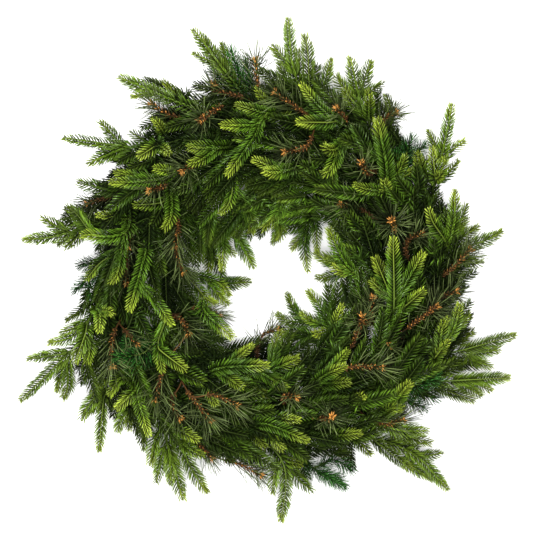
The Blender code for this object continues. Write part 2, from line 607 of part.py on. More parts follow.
def drop_crossing_needles(mesh):
    """Flatten each needle that passes through the core or another needle, back to the core's face."""
    for _ in range(MOST_PASSES):
        points = {}
        for faces in crossing_faces(mesh):
            raised = [vertex for face in faces for vertex in face.verts
                      if len(vertex.link_faces) == 4 and needle_height(vertex) > NEEDLE_RADIUS * 2]
            if raised:
                longest = max(raised, key=needle_height)
                points[longest.index] = longest
        if not points:
            return
        bmesh.ops.dissolve_verts(mesh, verts=list(points.values()))
        bmesh.ops.triangulate(mesh, faces=mesh.faces[:])


def crossing_faces(mesh):
    """The pairs of faces that pass through each other without a shared corner."""
    mesh.faces.ensure_lookup_table()
    tree = BVHTree.FromBMesh(mesh, epsilon=0.0)
    pairs = [(mesh.faces[one], mesh.faces[two]) for one, two in tree.overlap(tree) if one < two]
    return [(one, two) for one, two in pairs if not set(one.verts) & set(two.verts)]


def needle_height(vertex):
    """Distance from a vertex to its nearest neighbour."""
    return min(edge.calc_length() for edge in vertex.link_edges)


def ring_corners(mesh, ring):
    """Three corners of the core, evenly round its middle."""
    found = []
    for k in range(3):
        angle = math.radians(ring.turn + 120 * k)
        offset = ring.radius * (math.cos(angle) * ring.side + math.sin(angle) * ring.up)
        found.append(mesh.verts.new(Vector(ring.centre + offset)))
    return found


def raise_needle(mesh, face, tangent, foliage, obstacles, own, owner, draw):
    """Raise one face of the core to a needle's point, where it stays clear of all others."""
    foot = np.array(face.calc_center_median())
    face.normal_update()
    outward = np.array(face.normal)
    outward = unit(outward - tangent * np.dot(outward, tangent))
    crosswise = np.cross(tangent, outward)
    point = choose_point(obstacles, own, foot, (tangent, outward, crosswise), foliage, owner, draw)
    if point is None:
        return
    raise_to(mesh, face, point)
    middle = (foot + point) / 2
    obstacles.add(foot, middle, NEEDLE_RADIUS, owner)
    obstacles.add(middle, point, NEEDLE_RADIUS * NEEDLE_TAPER, owner)
    own.add(foot + OWN_SHARE * (point - foot), point, OWN_NEEDLE_RADIUS, OWN_NEEDLES)


def raise_to(mesh, face, point):
    """Poke a face and move the new middle vertex to the given point."""
    poked = bmesh.ops.poke(mesh, faces=[face])
    poked["verts"][0].co = Vector(point)


def wire_ring():
    """Two round wires, one inside the other, held together by short ties across the gap."""
    pieces = []
    for radius in (OUTER_RAIL, INNER_RAIL):
        bpy.ops.mesh.primitive_torus_add(
            major_radius=radius, minor_radius=WIRE_RADIUS, major_segments=RING_SEGMENTS,
            minor_segments=WIRE_SIDES, location=(0, 0, WIRE_FLAT))
        pieces.append(bpy.context.object)
    length = OUTER_RAIL - INNER_RAIL
    for number in range(TIE_COUNT):
        angle = math.radians(TIE_FIRST_CLOCK + 360 * number / TIE_COUNT)
        middle = (OUTER_RAIL + INNER_RAIL) / 2
        bpy.ops.mesh.primitive_cylinder_add(
            vertices=TIE_SIDES, radius=TIE_RADIUS, depth=length,
            location=(middle * math.cos(angle), middle * math.sin(angle), WIRE_FLAT),
            rotation=(0, math.pi / 2, angle))
        bpy.context.object.data.transform(Matrix.Rotation(TIE_TURN, 4, "Z"))
        pieces.append(bpy.context.object)
    return fuse("ring_frame", pieces)


def fuse(name, pieces):
    """Join the pieces in one body by one union, and keep only that body, without scraps or hollows."""
    whole = pieces[0]
    whole.name = name
    whole.data.name = name
    if len(pieces) > 1:
        rest = bpy.data.collections.new(name + "_pieces")
        bpy.context.scene.collection.children.link(rest)
        for piece in pieces[1:]:
            for holder in list(piece.users_collection):
                holder.objects.unlink(piece)
            rest.objects.link(piece)
        union = whole.modifiers.new("Union", "BOOLEAN")
        union.operation = "UNION"
        union.operand_type = "COLLECTION"
        union.collection = rest
        union.solver = "MANIFOLD"
        shape = evaluated_mesh(whole)
        whole.modifiers.remove(union)
        whole.data = shape
        shape.name = name
        for piece in pieces[1:]:
            bpy.data.objects.remove(piece)
        bpy.data.collections.remove(rest)
    apply_place(whole)
    mesh = bmesh.new()
    mesh.from_mesh(whole.data)
    bmesh.ops.triangulate(mesh, faces=mesh.faces[:])
    keep_largest(mesh)
    joined = mesh.copy()
    join_near_corners(joined)
    chosen = mesh if crossing_faces(joined) else joined
    chosen.to_mesh(whole.data)
    mesh.free()
    joined.free()
    return whole


def join_near_corners(mesh):
    """Close up edges too short to matter, each only where the surface stays whole round it."""
    short = [edge for edge in mesh.edges if edge.calc_length() < LEAST_EDGE]
    while short:
        used = set()
        merges = []
        for edge in short:
            one, two = edge.verts
            rounds = [{link.other_vert(vertex) for link in vertex.link_edges} for vertex in (one, two)]
            touched = rounds[0] | rounds[1]
            if len(rounds[0] & rounds[1]) == 2 and not touched & used:
                used |= touched
                merges.append((one, two))
        for one, two in merges:
            bmesh.ops.pointmerge(mesh, verts=[one, two], merge_co=(one.co + two.co) / 2)
        short = [edge for edge in mesh.edges if edge.calc_length() < LEAST_EDGE] if merges else []


def evaluated_mesh(thing):
    """The object's mesh with its modifiers applied."""
    return bpy.data.meshes.new_from_object(thing.evaluated_get(bpy.context.evaluated_depsgraph_get()))


def apply_place(thing):
    """Put the object's place into its mesh."""
    thing.data.transform(thing.matrix_world)
    thing.matrix_world.identity()


def keep_largest(mesh):
    """Drop loose scraps and sealed hollows: all but the connected surface with the most corners."""
    left = set(mesh.verts)
    islands = []
    while left:
        island = {left.pop()}
        edge = list(island)
        while edge:
            for link in edge.pop().link_edges:
                for vertex in link.verts:
                    if vertex in left:
                        left.discard(vertex)
                        island.add(vertex)
                        edge.append(vertex)
        islands.append(island)
    largest = max(islands, key=len)
    extra = [vertex for island in islands if island is not largest for vertex in island]
    bmesh.ops.delete(mesh, geom=extra, context="VERTS")


def material(name, colour, roughness):
    """A plain Principled finish."""
    found = bpy.data.materials.new(name)
    found.use_nodes = True
    shader = found.node_tree.nodes["Principled BSDF"]
    shader.inputs["Base Color"].default_value = colour
    shader.inputs["Roughness"].default_value = roughness
    return found


def shoot_number(number, index):
    """One number for each shoot of each bunch, for telling whose needles and cores are whose."""
    return number * MOST_SHOOTS + index


def build_bunch(bunch, cores, obstacles, number, draw):
    """One object from the bunch's shoots, each with its needles."""
    pieces = []
    for index, core in enumerate(cores):
        mesh = shoot_mesh(core, bunch.foliage, obstacles, shoot_number(number, index), draw)
        data = bpy.data.meshes.new(bunch.name)
        mesh.to_mesh(data)
        mesh.free()
        piece = bpy.data.objects.new(bunch.name, data)
        bpy.context.scene.collection.objects.link(piece)
        pieces.append(piece)
    bpy.context.view_layer.update()
    return fuse(bunch.name, pieces)


def add_rail_obstacles(obstacles):
    """The ring's wires, as short bars that no needle may touch."""
    for radius in (INNER_RAIL, OUTER_RAIL):
        for number in range(RING_SEGMENTS):
            bounds = [2 * math.pi * (number + k) / RING_SEGMENTS for k in (0, 1)]
            start, end = (np.array((radius * math.cos(a), radius * math.sin(a), WIRE_FLAT)) for a in bounds)
            obstacles.add(start, end, WIRE_RADIUS, RING_OWNER)
    for number in range(TIE_COUNT):
        angle = math.radians(TIE_FIRST_CLOCK + 360 * number / TIE_COUNT)
        way = np.array((math.cos(angle), math.sin(angle), 0))
        lift = np.array((0, 0, WIRE_FLAT))
        obstacles.add(way * INNER_RAIL + lift, way * OUTER_RAIL + lift, TIE_RADIUS, RING_OWNER)


def centre_on_origin(things):
    """Slide everything so that the middle of the wreath's outline stands over the origin."""
    corners = np.concatenate([np.array([vertex.co[:] for vertex in thing.data.vertices]) for thing in things])
    middle = (corners.min(axis=0) + corners.max(axis=0)) / 2
    for thing in things:
        for vertex in thing.data.vertices:
            vertex.co.x -= middle[0]
            vertex.co.y -= middle[1]


def build():
    for thing in list(bpy.data.objects):
        bpy.data.objects.remove(thing)
    wreath = bpy.data.collections.new("pine_wreath")
    bpy.context.scene.collection.children.link(wreath)
    rows = bunches()
    grown = [grow(bunch) for bunch in rows]
    all_lines = settle([lines for lines, _ in grown], [joints for _, joints in grown])

    draws = [random.Random(FIRST_SEED + number) for number in range(len(rows))]
    framed = [frame_bunch(bunch, lines, joints, draw)
              for bunch, lines, (_, joints), draw in zip(rows, all_lines, grown, draws)]

    obstacles = Obstacles()
    add_rail_obstacles(obstacles)
    for number, cores in enumerate(framed):
        for index, core in enumerate(cores):
            owner = shoot_number(number, index)
            for low, high in zip(core.rings[:-1], core.rings[1:]):
                obstacles.add(low.centre, high.centre, low.radius, owner)
            obstacles.add(core.rings[-1].centre, core.point, END_RADIUS, owner)

    ring = wire_ring()
    ring.data.materials.clear()
    ring.data.materials.append(material("green_painted_wire", WIRE_COLOUR, WIRE_ROUGHNESS))
    finishes = {SPRUCE: material("spruce_green", SPRUCE.colour, SPRUCE.roughness),
                FIR: material("fir_blue_green", FIR.colour, FIR.roughness),
                PINE: material("pine_grey_green", PINE.colour, PINE.roughness)}
    things = [ring]
    for number, (bunch, cores) in enumerate(zip(rows, framed)):
        thing = build_bunch(bunch, cores, obstacles, number, draws[number])
        thing.data.materials.clear()
        thing.data.materials.append(finishes[bunch.foliage])
        things.append(thing)
    centre_on_origin(things)
    for thing in things:
        for holder in list(thing.users_collection):
            holder.objects.unlink(thing)
        wreath.objects.link(thing)


build()
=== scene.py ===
"""Looks of the pine wreath: moulded spruce tips, cut-film fir tips and long-needle pine twigs.

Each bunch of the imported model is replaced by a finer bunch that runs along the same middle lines:
round stems, with needles set round them in rows. Metres throughout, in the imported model's frame:
the wire ring lies on Z = 0 and the wreath's front is up.
"""
import math
from collections import namedtuple

import bpy
import numpy as np
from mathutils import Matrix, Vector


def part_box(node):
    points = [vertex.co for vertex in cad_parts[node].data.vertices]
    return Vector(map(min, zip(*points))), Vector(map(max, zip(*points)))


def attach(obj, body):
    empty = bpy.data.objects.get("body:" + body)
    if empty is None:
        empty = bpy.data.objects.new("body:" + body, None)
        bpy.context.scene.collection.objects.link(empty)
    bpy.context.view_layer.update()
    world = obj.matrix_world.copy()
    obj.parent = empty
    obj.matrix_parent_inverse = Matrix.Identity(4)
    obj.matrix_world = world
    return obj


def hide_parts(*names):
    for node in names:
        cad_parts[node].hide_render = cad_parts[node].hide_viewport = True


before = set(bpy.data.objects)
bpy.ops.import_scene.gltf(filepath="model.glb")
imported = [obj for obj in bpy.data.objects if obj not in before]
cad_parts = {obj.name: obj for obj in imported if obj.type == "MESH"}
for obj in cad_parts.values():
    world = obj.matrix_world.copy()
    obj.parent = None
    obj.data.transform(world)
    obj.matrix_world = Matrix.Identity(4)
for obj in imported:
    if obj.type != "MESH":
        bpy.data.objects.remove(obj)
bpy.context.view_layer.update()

# Driving sizes of the layout, the same as the solids have
WREATH_ACROSS = 0.610
DOME_HEIGHT = 0.100
DOME_RADIUS = 0.172
DOME_SPREAD = 0.168
LOWEST_SHOOT = 0.020
WIRE_RADIUS = 0.0023
WIRE_SIDES = 6
WIRE_FLAT = WIRE_RADIUS * math.cos(math.pi / WIRE_SIDES)
INNER_RAIL = 0.165
OUTER_RAIL = 0.195
RING_SEGMENTS = 30
STEM_RADIUS = 0.0016
SEAT_GAP = 0.0003

# Middle lines: how they leave the rail, fork and pass each other
PATH_STEP = 0.004
ARC_POINTS = 24
FORK_FRONT = 0.84
LEAVE_OUT, LEAVE_ROUND, LEAVE_UP = 0.35, 0.8, 0.55
FORK_BACK = 0.016
FORK_TURN_COST = 0.025
FORK_AHEAD = 0.5
CORE_CLEARANCE = 0.0062
SETTLE_ROUNDS = 130
ROUNDS_PER_SEARCH = 12
SEARCH_REACH = 2.5 * CORE_CLEARANCE
SEARCH_BLOCK = 256
SMOOTHING = 0.3
PUSH_WEIGHTS = np.array((0.35, 0.35, 1.0))
ROOT_FREEDOM = (0, 0, 0.2, 0.5, 0.8)

# Reading of the photograph, in its 533 by 533 pixel frame
FRAME_PIXELS = 533
CENTRE_PIXEL = (270, 272)
PIXELS_ACROSS = 508
EYE_HEIGHT = 2.0
SCALE_HEIGHT = 0.050
PIXEL = WREATH_ACROSS / PIXELS_ACROSS

Bunch = namedtuple("Bunch", "name foliage clock rail shoots")

# A bunch hangs on a rail at a clock angle, in degrees counter-clockwise from the right as seen.
# Each of its shoots is (fork x, fork y, end x, end y, front): where it shows in the photograph,
# and how near it is to the wreath's front, from 0 at the back to 1 on the dome.
SPRUCE_BUNCHES = (
    (118, OUTER_RAIL, ((135, 147, 63, 138, 0.7), (122, 145, 100, 121, 0.62), (125, 148, 87, 164, 0.72),
        (155, 146, 138, 157, 0.95), (187, 150, 165, 154, 0.98), (175, 135, 152, 118, 0.85),
        (150, 143, 130, 132, 0.55))),
    (103, OUTER_RAIL, ((180, 103, 119, 77, 0.8), (150, 90, 131, 97, 0.7), (178, 98, 164, 80, 0.6))),
    (127, INNER_RAIL, ((140, 182, 110, 182, 0.95), (140, 178, 115, 172, 0.8), (115, 190, 77, 182, 0.6),
        (168, 172, 154, 168, 0.9), (190, 205, 164, 228, 0.95), (160, 203, 134, 205, 0.75))),
    (92, OUTER_RAIL, ((228, 75, 193, 29, 0.75), (217, 60, 205, 37, 0.65), (225, 70, 193, 53, 0.6),
        (230, 75, 222, 42, 0.6))),
    (77, OUTER_RAIL, ((262, 112, 236, 104, 0.95), (272, 115, 256, 88, 0.75), (255, 125, 221, 125, 0.9),
        (255, 135, 227, 175, 1.0), (290, 125, 285, 113, 0.7))),
    (96, INNER_RAIL, ((215, 148, 188, 147, 0.85), (215, 165, 188, 163, 0.95), (250, 195, 220, 213, 0.95),
        (262, 210, 251, 232, 0.75))),
    (66, INNER_RAIL, ((282, 170, 253, 159, 0.95), (290, 182, 264, 170, 0.98), (310, 205, 262, 228, 0.8),
        (290, 222, 272, 244, 0.6), (298, 222, 278, 240, 0.7))),
    (52, INNER_RAIL, ((305, 240, 308, 272, 0.75), (302, 238, 291, 249, 0.6), (316, 225, 317, 250, 0.65))),
    (47, OUTER_RAIL, ((318, 105, 301, 84, 1.0), (328, 122, 297, 122, 0.9), (348, 175, 324, 145, 0.98),
        (347, 177, 322, 173, 0.85), (345, 200, 325, 202, 0.6))),
    (62, OUTER_RAIL, ((295, 75, 288, 18, 0.75), (292, 70, 272, 45, 0.65), (290, 85, 278, 62, 0.6),
        (325, 85, 304, 34, 0.8), (300, 75, 299, 50, 0.6), (325, 82, 331, 58, 0.65))),
    (42, OUTER_RAIL, ((358, 95, 350, 57, 0.8), (362, 90, 371, 60, 0.65), (338, 98, 337, 74, 0.65),
        (350, 115, 345, 88, 0.75), (374, 120, 368, 90, 0.9), (372, 98, 384, 82, 0.6),
        (392, 118, 386, 95, 0.55))),
    (21, INNER_RAIL, ((385, 160, 377, 119, 1.0), (390, 215, 384, 180, 0.85), (385, 205, 354, 184, 0.95),
        (402, 185, 405, 155, 0.8), (418, 185, 415, 165, 0.7), (407, 210, 412, 188, 0.65))),
    (15, OUTER_RAIL, ((445, 140, 452, 104, 0.8), (437, 150, 428, 130, 0.65), (445, 155, 465, 141, 0.65),
        (447, 175, 459, 160, 0.6), (435, 175, 432, 148, 0.9), (422, 172, 417, 152, 0.65),
        (440, 183, 445, 157, 0.85), (440, 200, 440, 172, 0.95))),
    (-5, OUTER_RAIL, ((453, 225, 455, 190, 0.95), (430, 245, 429, 208, 0.98), (460, 222, 467, 204, 0.6),
        (458, 230, 468, 218, 0.55), (460, 238, 479, 226, 0.6), (455, 268, 502, 231, 0.8),
        (468, 270, 483, 262, 0.65))),
    (-27, INNER_RAIL, ((394, 300, 393, 238, 1.05), (405, 285, 423, 253, 0.95), (392, 300, 375, 258, 0.9),
        (392, 304, 371, 280, 0.8), (400, 310, 424, 290, 0.85))),
    (-37, OUTER_RAIL, ((470, 348, 516, 335, 0.8), (475, 352, 500, 350, 0.65), (470, 358, 492, 367, 0.6),
        (450, 345, 468, 340, 0.45), (436, 356, 448, 340, 0.9), (455, 325, 460, 303, 0.95),
        (420, 340, 448, 318, 0.95), (458, 322, 470, 315, 0.7), (455, 330, 475, 332, 0.6))),
    (-47, OUTER_RAIL, ((465, 380, 510, 378, 0.85), (475, 383, 492, 391, 0.6), (460, 383, 482, 396, 0.6),
        (445, 390, 475, 401, 0.55))),
    (-61, OUTER_RAIL, ((400, 430, 428, 431, 0.85), (400, 434, 431, 443, 0.65), (385, 400, 402, 409, 0.8),
        (385, 398, 411, 383, 0.95), (350, 398, 365, 395, 0.8))),
    (-77, OUTER_RAIL, ((415, 455, 448, 490, 0.75), (410, 465, 433, 480, 0.6), (420, 456, 443, 453, 0.65),
        (380, 445, 412, 470, 0.6), (340, 435, 361, 433, 0.9), (355, 438, 371, 455, 0.65))),
    (-80, INNER_RAIL, ((325, 375, 346, 365, 0.95), (330, 383, 350, 382, 0.75), (335, 365, 348, 350, 0.85))),
    (-101, OUTER_RAIL, ((285, 470, 281, 522, 0.8), (275, 470, 272, 493, 0.85), (285, 460, 302, 465, 0.65),
        (298, 478, 313, 492, 0.55))),
    (-109, OUTER_RAIL, ((270, 425, 308, 441, 0.95), (275, 418, 300, 420, 0.8), (262, 425, 283, 450, 0.8),
        (250, 425, 265, 448, 0.65))),
    (-129, INNER_RAIL, ((225, 367, 268, 365, 1.0), (220, 372, 243, 388, 0.85), (205, 380, 216, 405, 0.75),
        (265, 375, 287, 388, 0.7), (255, 382, 268, 397, 0.6), (270, 370, 298, 358, 0.9),
        (265, 345, 283, 332, 0.75), (240, 355, 252, 345, 0.85))),
    (-133, OUTER_RAIL, ((190, 465, 207, 493, 0.85), (178, 448, 204, 456, 0.8), (180, 430, 198, 440, 0.85))),
    (-140, OUTER_RAIL, ((175, 470, 183, 500, 0.8), (172, 455, 170, 485, 0.85), (162, 455, 156, 483, 0.65),
        (155, 440, 150, 465, 0.65), (142, 430, 144, 450, 0.5))),
    (-151, OUTER_RAIL, ((140, 405, 149, 435, 0.9), (130, 408, 129, 430, 0.65), (118, 408, 118, 432, 0.6),
        (130, 395, 116, 408, 0.85), (118, 380, 110, 395, 0.9))),
    (-161, OUTER_RAIL, ((103, 405, 99, 452, 0.75), (103, 398, 86, 415, 0.45), (85, 385, 82, 421, 0.85),
        (95, 375, 95, 393, 0.7))),
    (-170, OUTER_RAIL, ((60, 362, 20, 401, 0.75), (80, 382, 63, 398, 0.5), (62, 370, 57, 393, 0.6),
        (65, 353, 27, 359, 0.7))),
    (177, OUTER_RAIL, ((75, 335, 48, 343, 0.7), (85, 322, 60, 333, 0.75), (100, 300, 66, 320, 0.45),
        (85, 335, 75, 362, 0.85), (90, 345, 88, 363, 0.75), (100, 315, 99, 332, 0.95),
        (115, 290, 112, 316, 0.9))),
    (168, INNER_RAIL, ((145, 255, 129, 310, 1.0), (155, 300, 172, 325, 0.9), (158, 345, 162, 372, 0.85),
        (160, 350, 186, 370, 0.95))),
    (153, OUTER_RAIL, ((60, 235, 22, 240, 0.75), (60, 228, 41, 217, 0.6), (66, 228, 58, 246, 0.55),
        (90, 235, 65, 247, 0.7))),
    (147, OUTER_RAIL, ((120, 235, 82, 235, 0.85), (90, 215, 65, 207, 0.5), (125, 213, 97, 215, 0.8),
        (140, 262, 110, 283, 0.85), (98, 265, 86, 280, 0.75))),
    (132, INNER_RAIL, ((222, 240, 222, 270, 0.9), (225, 245, 235, 256, 0.6), (235, 235, 254, 268, 0.7),
        (210, 250, 208, 275, 0.5))),
    (-12, INNER_RAIL, ((346, 264, 328, 228, 0.95), (342, 264, 325, 258, 0.7), (330, 275, 315, 252, 0.85),
        (338, 285, 333, 265, 0.9), (332, 288, 315, 276, 0.6))),
    (-56, INNER_RAIL, ((322, 310, 308, 290, 0.75), (335, 325, 342, 305, 0.9), (290, 335, 277, 313, 0.65),
        (298, 322, 287, 292, 0.65), (312, 330, 302, 312, 0.7), (303, 345, 315, 331, 0.85))),
    (174, INNER_RAIL, ((222, 285, 230, 296, 0.85), (232, 283, 251, 282, 0.65), (215, 290, 228, 304, 0.7),
        (195, 300, 217, 303, 0.75), (205, 312, 233, 338, 0.9))),
)

FIR_BUNCHES = (
    (86, OUTER_RAIL, ((242, 80, 231, 50, 0.55), (236, 86, 212, 72, 0.5), (252, 88, 246, 62, 0.5))),
    (27, OUTER_RAIL, ((404, 160, 412, 138, 0.75), (400, 172, 395, 153, 0.7), (408, 160, 424, 146, 0.55))),
    (-51, INNER_RAIL, ((415, 385, 438, 377, 0.7), (410, 392, 437, 398, 0.5), (405, 400, 425, 408, 0.5),
        (395, 365, 420, 365, 0.6))),
    (-89, OUTER_RAIL, ((315, 470, 340, 484, 0.55), (335, 460, 352, 470, 0.55), (330, 465, 344, 486, 0.45))),
    (-172, INNER_RAIL, ((145, 352, 117, 357, 0.9), (148, 345, 126, 342, 0.7), (150, 356, 130, 370, 0.7))),
    (162, OUTER_RAIL, ((95, 272, 75, 290, 0.55), (98, 262, 80, 265, 0.5), (100, 275, 92, 296, 0.5))),
)

PINE_BUNCHES = (
    (109, OUTER_RAIL, ((170, 115, 150, 103, 0.75), (219, 107, 199, 121, 0.9))),
    (84, INNER_RAIL, ((259, 88, 255, 59, 0.7), (202, 92, 214, 84, 0.7))),
    (56, OUTER_RAIL, ((300, 110, 274, 92, 0.85), (345, 118, 335, 108, 0.8), (304, 148, 284, 152, 0.9))),
    (36, OUTER_RAIL, ((385, 118, 397, 112, 0.65), (366, 172, 361, 162, 0.85))),
    (117, INNER_RAIL, ((115, 195, 86, 204, 0.45), (162, 186, 149, 191, 0.8), (192, 165, 182, 172, 0.85))),
    (142, INNER_RAIL, ((178, 227, 175, 247, 0.9), (178, 258, 184, 273, 0.8), (131, 236, 127, 248, 0.6),
        (127, 272, 127, 284, 0.6))),
    (9, INNER_RAIL, ((393, 224, 391, 220, 1.0), (352, 206, 340, 204, 0.7))),
    (-14, OUTER_RAIL, ((408, 240, 423, 233, 0.75), (454, 267, 471, 249, 0.8))),
    (-22, OUTER_RAIL, ((443, 296, 457, 291, 0.7), (402, 332, 438, 305, 0.85), (378, 350, 390, 345, 0.65))),
    (-36, INNER_RAIL, ((371, 310, 373, 297, 0.8), (352, 346, 362, 315, 0.95))),
    (-66, INNER_RAIL, ((350, 367, 383, 367, 0.9), (387, 424, 404, 419, 0.75))),
    (-97, INNER_RAIL, ((329, 419, 332, 416, 1.0), (286, 396, 297, 397, 0.85), (262, 336, 278, 328, 0.6))),
    (-178, INNER_RAIL, ((112, 342, 113, 367, 0.85), (125, 330, 138, 346, 0.75))),
    (-165, INNER_RAIL, ((183, 322, 189, 335, 0.85), (164, 366, 155, 401, 0.8), (206, 308, 220, 316, 0.6))),
    (-145, INNER_RAIL, ((191, 396, 212, 421, 0.85), (215, 395, 238, 406, 0.85),
        (172, 404, 181, 419, 0.75))),
    (-121, OUTER_RAIL, ((200, 445, 213, 459, 0.7), (239, 464, 262, 475, 0.7))),
)

# How needles or scales stand on a stem: sizes in metres, leans from the stem's direction in degrees.
# A row is its turn round the stem, 0 to the right and 90 up, and how far its first needle is moved
# along, in pitches. Without rows the needles stand in a spiral. Towards the stem's point, within the
# zone, needles lean less and grow shorter.
Growth = namedtuple("Growth", "length width thickness lean lean_spread point_lean point_zone point_length "
                              "curl pitch rows steps profile sides")
SPRUCE_GROWTH = Growth(0.0134, 0.00160, 0.00145, 53, 4, 37, 0.027, 0.50, -0.20, 0.0039,
                       ((4, 0.0), (176, 0.5), (34, 0.06), (146, 0.56)), (0, 0.45, 0.86), (0.6, 1.0, 0.75), 3)
UNDERSIDE_GROWTH = SPRUCE_GROWTH._replace(rows=((-26, 0.04), (206, 0.54), (-62, 0.5), (242, 0.0)),
                                          steps=(0, 0.55), profile=(0.8, 1.0))
TOP_GROWTH = SPRUCE_GROWTH._replace(length=0.0070, lean=36, pitch=0.0040, rows=((74, 0.1), (106, 0.6)),
                                    steps=(0, 0.55), profile=(0.8, 1.0))
POINT_GROWTH = SPRUCE_GROWTH._replace(length=0.0062, lean=20, lean_spread=8, point_lean=20, point_length=1.0,
                                      curl=0.0, pitch=0.0007, rows=None, steps=(0, 0.55), profile=(0.8, 1.0))
INNER_GROWTH = SPRUCE_GROWTH._replace(width=0.0022, thickness=0.0019, pitch=0.0048,
                                      rows=((4, 0.0), (176, 0.5), (34, 0.08), (146, 0.58), (-30, 0.5),
                                            (210, 0.0)),
                                      steps=(0, 0.6), profile=(0.8, 1.0))
FIR_GROWTH = Growth(0.0150, 0.00135, 0.00040, 56, 9, 24, 0.012, 0.75, -0.06, 0.00030,
                    None, (0, 0.92), (0.9, 1.0), 3)
TUFT_GROWTH = Growth(0.0350, 0.00108, 0.00090, 50, 30, 40, 0.010, 1.0, -0.08, 0.00030,
                     None, (0, 0.4, 0.75), (0.9, 1.0, 0.75), 3)
TWIG_GROWTH = TUFT_GROWTH._replace(length=0.032, lean=46, lean_spread=16, pitch=0.0011)
SCALE_GROWTH = Growth(0.0056, 0.0026, 0.0010, 42, 12, 32, 0.004, 1.0, 0.10, 0.00110,
                      None, (0, 0.5), (0.7, 1.0), 4)
BRACT_GROWTH = Growth(0.0068, 0.0024, 0.0010, 44, 14, 30, 0.001, 1.0, 0.12, 0.00030,
                      None, (0, 0.5), (0.6, 1.0), 4)

# Shades of one shoot: how young, its tone, its light, its roll in radians and its needles' length
Shade = namedtuple("Shade", "young tone light roll length")

SCALE_SHADE = Shade(0.0, 0.5, 1.3, 0.0, 1.0)
BARE_SCALE_SHADE = Shade(0.0, 0.6, 1.5, 0.0, 1.0)
BARE_NEEDLE_SHADE = Shade(0.0, 0.5, 0.9, 0.0, 0.9)

# A shoot to dress: where its mesh goes, its middle line and that line's length, whether it is its
# bunch's lead, how near it is to the front, and what draws its numbers
Sprig = namedtuple("Sprig", "heap line total is_lead front draw")

# Where growth starts, from the root of a lead or of a side shoot, and how far it reaches from the point
LEAF_START = {True: 0.030, False: 0.006}
INNER_LEAF_START = 0.004
DENSE_LENGTH = 0.080
THIN_PITCH = 1.5
LEAFLESS_END = 0.0005
POINT_LEAFY = 0.0035
TUFT_LEAFY = 0.014
TWIG_LEAFY = 0.042
SCALE_LEAFY = 0.050
TWIG_END = 0.001
TWIG_BARE_SHARE = 0.3
BRACT_LEAFY, BRACT_END = 0.0030, 0.0002
BARE_TWIG_PITCH = 0.0035
TOP_COVERED = 0.78

# Stems, and how a lead's stem bends down beside its rail
STEM_SIDES = 6
INNER_STEM_SIDES = 4
STEM_END_RADIUS = 0.0006
FORK_RADIUS = 0.0010
ROOT_SINK = 0.0006
HOOK_STEPS = 6
HOOK_TAIL = 0.3
INNER_STEM_LIGHT, TWIG_STEM_LIGHT = 0.25, 0.6

# How single needles stray from their places, and how they ease towards the point
FIRST_SEED = 5000
GOLDEN_TURN = 137.508
ALONG_STRAY, ALONG_LIMIT = 0.12, 0.004
TURN_STRAY = 5
SWING_STRAY = 0.06
POINT_EASING = 0.85
POINT_SIZE = 0.62
CURL_ACROSS = 0.9
LENGTH_STRAY = (0.86, 1.06)
SIZE_STRAY = (0.86, 1.10)
TONE_STRAY = 0.22
LIGHT_STRAY = (0.42, 1.20)
YOUNG_ZONE = 0.028
YOUNG_EASING = 0.7

# What is drawn for whole shoots: young, tone, light, roll and length
SPRUCE_YOUNG, SPRUCE_YOUNG_FRONT, SPRUCE_YOUNG_LESS, SPRUCE_YOUNG_LEAST = (0.1, 0.6), 0.6, 0.10, 0.1
FREE_TONE = (0.2, 0.8)
SPRUCE_LIGHT, SPRUCE_LIGHT_BACK = (0.8, 1.1), 0.55
SPRUCE_ROLL = (-0.30, 0.30)
SPRUCE_LENGTH = (0.84, 1.14)
OLD_YOUNG = 0.3
PINE_TONE = (0.3, 0.7)
PINE_LENGTH = (0.85, 1.1)
BRACT_TONE_SPREAD, BRACT_TONE_LESS, BRACT_LIGHT = 1.6, 0.2, 1.4
INNER_TONE = (0.1, 0.7)
INNER_LIGHT, INNER_LIGHT_MORE, INNER_LIGHT_EASING = 0.08, 1.12, 1.5
INNER_ROLL = (-0.4, 0.4)
INNER_LENGTH = 1.1

# The dense body of the wreath, as read off the photograph: its outer and inner edge in pixels from
# the ring's middle, every 15 degrees counter-clockwise from the right
BODY_OUTER = (201, 200, 193, 197, 208, 213, 206, 209, 205, 195, 190, 214, 184, 198, 220, 222, 206, 202,
              200, 203, 203, 198, 227, 210)
BODY_INNER = (66, 66, 68, 72, 44, 38, 38, 38, 38, 38, 44, 52, 68, 62, 76, 74, 74, 73, 58, 54, 58, 68, 52, 50)

# White gaps where the table shows through the foliage: x, y and radius in pixels
TABLE_GAPS = ((348, 293, 4), (204, 271, 5), (385, 340, 1), (216, 280, 2), (322, 235, 8), (86, 251, 10),
              (180, 89, 6))

# Inner shoots: the pixels they are drawn between, the spacing that they fill, their level under the
# dome, length in pixels, and degrees by which they fan out from the way round the ring
UNDER_BOUNDS = (30, 510)
UNDER_SPACING = 0.0060
UNDER_LEVELS = (0.52, 0.86)
UNDER_PIXELS = (26, 58)
UNDER_SHRINK = 0.5
UNDER_FAN = 38
UNDER_STRAY = 22
UNDER_MARGIN = 5
END_MARGIN = 2
UNDER_TRIES = 14000
UNDER_SEED = 77

# Points of a line that count: without the first ones a shoot covers what is under it, an inner
# shoot covers with its last ones, and inner shoots pass beneath the last ones of a pine twig
LEAFLESS_LEAD = 8
LEAFLESS_SIDE = 2
COVER_NODES = 10
TWIG_NODES = 11
TWIG_CLEAR = 0.014
TWIG_DROP = 0.010

# Low shoots over the outer rail: how many, the radii in pixels and the turn between their ends, level
LOW_COUNT = 44
LOW_RADII = (152, 188)
LOW_LEAD = 0.20
LOW_LEVEL = 0.22
LOW_STRAY = 0.3

